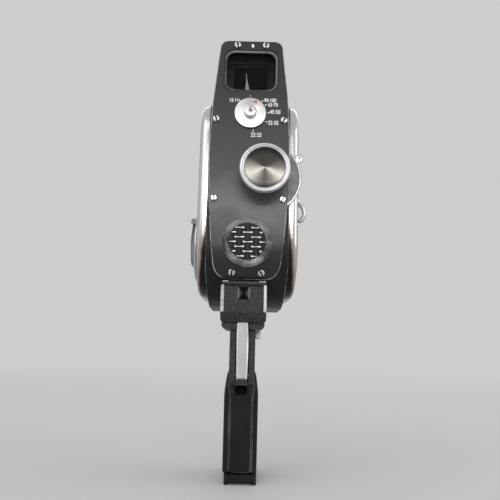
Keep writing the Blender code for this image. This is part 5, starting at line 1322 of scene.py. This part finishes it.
head = dress("grip_head", "head_block")
coated(head, painted_shade_black)
# The head's rounded corners take a near-white finish: worn paint and a painted highlight.
worn_edges(head, 1.7, head_corner, 6)
coat_faces(head, 0, lambda middle, face: middle.z < BRIGHT_LOW
           or abs(middle.x - GRIP_X) < BRIGHT_HALF)
# The hollow of the mark is painted black, a painted shade.
coat_faces(head, 2, in_mark)
settle(head)
hand_over(head, [crinkle_paint, head_edge_worn_highlight, painted_shade_black], "camera", "grip_head")

# %% Facets of the mark
# Two facets in the mark are painted paler grey, painted highlights where light would catch them.
facets = []
for side in (-1, 1):
    facet = slab("facet", (-1.1, -37.62, MARK_Z - 3.5), (1.1, -37.3, MARK_Z + 3.5), "Y", {})
    nudge(facet, lambda middle, vert: middle.x * side < 0, (0, 0.25, 0), (1.0, 1.0, 0.06),
          (0, 0, MARK_Z))
    facet.location = ((GRIP_X + side * 2.5) * MM, 0, 0)
    settle(facet)
    facets.append(facet)
facets = joined("head_facets", facets)
settle(facets)
hand_over(facets, facet_painted_highlight, "camera")

# %% [markdown]
# A thin lip stands on the head under the plate, and its outer ends are chipped to bare metal. It is
# a slab cut in three along its length, so that only the ends take the worn finish.

# %% Lip on the head
LIP_HALF, LIP_FRONT, LIP_BACK, LIP_LOW, LIP_HIGH = 12.7, -36.9, -33.8, 112.5, 114.6
LIP_WHOLE_HALF = 8.8   # where the paint is still whole

lip = slab("head_lip", (GRIP_X - LIP_HALF, LIP_FRONT, LIP_LOW),
           (GRIP_X + LIP_HALF, LIP_BACK, LIP_HIGH), "Z", {(0, 0): 1.6, (1, 0): 1.6}, 5)
coated(lip, crinkle_paint, head_edge_worn_highlight)
sliced(lip, "X", (GRIP_X - LIP_WHOLE_HALF, GRIP_X + LIP_WHOLE_HALF))
worn_edges(lip, 0.7, lambda middle, edge: middle.z > LIP_HIGH - 0.1 and middle.y < LIP_BACK - 0.1)
coat_faces(lip, 0, lambda middle, face: abs(middle.x - GRIP_X) < LIP_WHOLE_HALF)
settle(lip, 40.0)
hand_over(lip, [crinkle_paint, head_edge_worn_highlight], "camera")

# %% [markdown]
# The handle takes its worn edges in two goes: the corners of the neck, the slot and the lower front
# first, then the front of the collar. Under the trigger a round-topped hollow is cut for a finger
# nail, and a small lip hangs over it.

# %% Handle
NECK_HALF, NECK_TOP, NECK_FRONT, COLLAR_FRONT = 7.35, 87.3, -29.5, -33.0
TRIGGER_FOOT = 57.5


def handle_front(middle, edge):
    """The front corners down to the foot, and the corners of the trigger's slot."""
    aside = abs(middle.x - GRIP_X)
    if middle.z > NECK_TOP or middle.y > -16.5:
        return False
    at_corner = close(aside, NECK_HALF, 0.05) and level_in(edge, "X")
    at_slot = close(middle.y, NECK_FRONT, 0.05) and aside < 5.0 and not level_in(edge, "Z", 1.0)
    return at_corner and (middle.y < NECK_FRONT + 0.2 or middle.z < TRIGGER_FOOT) or at_slot


handle = dress("grip_frame", "handle_core")
nudge(handle, lambda middle, vert: middle.z < 8.2, (0, 0, -0.8))
worn_edges(handle, 0.45, handle_front)
worn_edges(handle, 0.35, lambda middle, edge: close(middle.y, COLLAR_FRONT, 0.05))
hollow = slab("hollow", (-4.8, -36.0, 50.5), (2.0, -20.0, 56.2), "Y", {(0, 1): 2.2, (1, 1): 2.2}, 6)
# The hollow's faces take the black painted shade.
coated(hollow, painted_shade_black)
cut(handle, hollow)
settle(handle)
hand_over(handle, [crinkle_paint, handle_edge, painted_shade_black], "camera",
          "grip_frame")

# %% Lip under the trigger
HANG_FRONT, HANG_BACK, HANG_LOW, HANG_HIGH = -31.0, -29.2, 56.3, 59.6

overhang = slab("trigger_lip", (-4.9, HANG_FRONT, HANG_LOW), (1.9, HANG_BACK, HANG_HIGH), "Y",
                {(0, 1): 1.0, (1, 1): 1.0}, 4)
coated(overhang, crinkle_paint, handle_edge)
nudge(overhang, lambda middle, vert: middle.z > 58.5 and middle.y > HANG_BACK - 0.1, (0, -0.95, 0))
worn_edges(overhang, 0.4, lambda middle, edge: close(middle.z, HANG_LOW, 0.05)
           and middle.y < HANG_FRONT + 0.1)
settle(overhang, 40.0)
hand_over(overhang, [crinkle_paint, handle_edge], "camera")

# %% [markdown]
# The lower front of the handle is a separate dark strip with round lower corners. It lies along the
# slope of the handle, and its rubbed edge shows as a faint grey line.

# %% Front strip
STRIP_HALF, STRIP_FRONT, STRIP_LOW, STRIP_HIGH = 6.3, -0.75, -1.2, 43.0
STRIP_PLACE = (GRIP_X, -17.0, 7.9)
SLOPE = math.atan2(5.0, 41.1)

strip = slab("front_strip", (-STRIP_HALF, STRIP_FRONT, STRIP_LOW), (STRIP_HALF, -0.05, STRIP_HIGH),
             "Y", {(0, 0): 2.6, (1, 0): 2.6}, 6)
coated(strip, moulded_plastic, handle_edge)
worn_edges(strip, 0.5, lambda middle, edge: close(middle.y, STRIP_FRONT)
           and middle.z < STRIP_HIGH - 0.1)
strip.matrix_world = Matrix.Translation(metres(STRIP_PLACE)) @ Matrix.Rotation(SLOPE, 4, "X")
settle(strip)
hand_over(strip, [moulded_plastic, handle_edge], "camera")

# %% [markdown]
# The side panels reach down to the foot, and their upper ends thin out into the handle: each panel
# is cut level, and every level is drawn in more than the one below. The foot is a low block with a
# shallow arch cut under it.

# %% Panels and foot
THIN_FROM, THIN_H, THIN_BY = 50.0, 13.0, 1.5


def thinned(level):
    return {"by": (-side * THIN_BY * ((level - THIN_FROM) / THIN_H) ** 1.3, 0, 0)}


for name, side in (("left", -1.0), ("right", 1.0)):
    panel = dress("grip_panel_" + name, "side_panel_" + name, 0.3, 30.0, smooth=45.0, clamp=True)
    nudge(panel, lambda middle, vert: middle.z < 9.7, (0, 0, -2.2))
    sliced(panel, "Z", (THIN_FROM, 53.0, 56.0, 59.0))
    nudge_levels(panel, THIN_FROM, 100.0, 1, lambda middle: side * (middle.x - GRIP_X) > 7.9,
                 thinned)
    settle(panel, 45.0)
    hand_over(panel, moulded_plastic, "camera", "grip_panel_" + name)
foot = dress("grip_foot", "foot_block")
nudge(foot, lambda middle, vert: middle.z > 7.0, (0, 0, -1.8))
cut(foot, slab("arch", (-8.4, -30.0, -5.0), (6.8, 30.0, 1.8), "Y", {(0, 1): 0.8, (1, 1): 0.8}, 4))
soft_edges(foot, 0.5)
apply_modifiers(foot)
settle(foot, 40.0)
hand_over(foot, moulded_plastic, "camera", "grip_foot")

# %% [markdown]
# The trigger is a polished pressing that narrows to its foot. Its two long front edges are rounded
# and painted a paler metal than its face, a painted highlight. The small lock lever beside the neck
# is plated, and is painted nearly white as a painted highlight.

# %% Trigger and its lock
BLADE_FOOT, BLADE_FRONT, BLADE_LEAN = 59.4, -29.6, 0.12


def blade_edge(middle, edge):
    """A long front edge of the trigger, beside its middle."""
    front = BLADE_FRONT - BLADE_LEAN * (middle.z - BLADE_FOOT)
    return middle.y < -29.5 and abs(middle.x - GRIP_X) > 3.2 and close(middle.y, front, 0.3)


trigger = dress("trigger", "trigger_blade")
nudge(trigger, lambda middle, vert: middle.z < BLADE_FOOT + 0.2 and middle.y < -26.0,
      stretch=(0.91, 1.0, 1.0), centre=(GRIP_X, 0, BLADE_FOOT))
worn_edges(trigger, 1.0, blade_edge, 5)
settle(trigger, 40.0)
# Painted highlight: the long front edges are a paler metal than the face.
trigger_edge_highlight = metal("trigger_edge_highlight", grey(0.97, 0.98), 0.42, 0.05)
hand_over(trigger, [trigger_metal, trigger_edge_highlight], body_of("trigger"), "trigger")
lever = dress("lock_lever", "lever_block", 0.5, smooth=40.0)
# Painted highlight: the plated lever is painted nearly white and barely metallic, so it reads
# bright under any light.
lever_painted_bright = metal("lever_silver", grey(0.95), 0.45, 0.05)
plug(lever_painted_bright.node_tree, lever_painted_bright.node_tree.nodes["Principled BSDF"], Metallic=0.1)
hand_over(lever, lever_painted_bright, body_of("lock_lever"), "lock_lever")

# %% [markdown]
# ## Inside the camera
# The film path and the clockwork keep their solids. Each one gets the finish of its real metal,
# so that the camera also looks right with its door taken off.

# %% Finishes for the solids that stay
inside = {
    "glass": clear_glass, "black_casting": black_casting, "plate_enamel": plate_enamel,
    "lens_black": lens_black, "chrome": chrome, "leatherette": leather_cloth,
    "aluminium": aluminium, "trigger_metal": trigger_metal, "spun_inlay": disc_olive,
    "crinkle_paint": crinkle_paint, "plastic": moulded_plastic, "steel": steel, "brass": brass,
    "spring_steel": spring_steel, "selenium": selenium, "needle_paint": needle_paint,
    "spool_paint": spool_paint,
}
coats = {part["node"]: inside[part["material_slot"]] for part in frame["record"]["subparts"]}
coats.update(lens_rear_glass=lens_glass, eyepiece_lens=lens_glass)
for name, coat in coats.items():
    nodes[name].data.materials.clear()
    nodes[name].data.materials.append(coat)
print("finishes given to", len(coats), "solids")
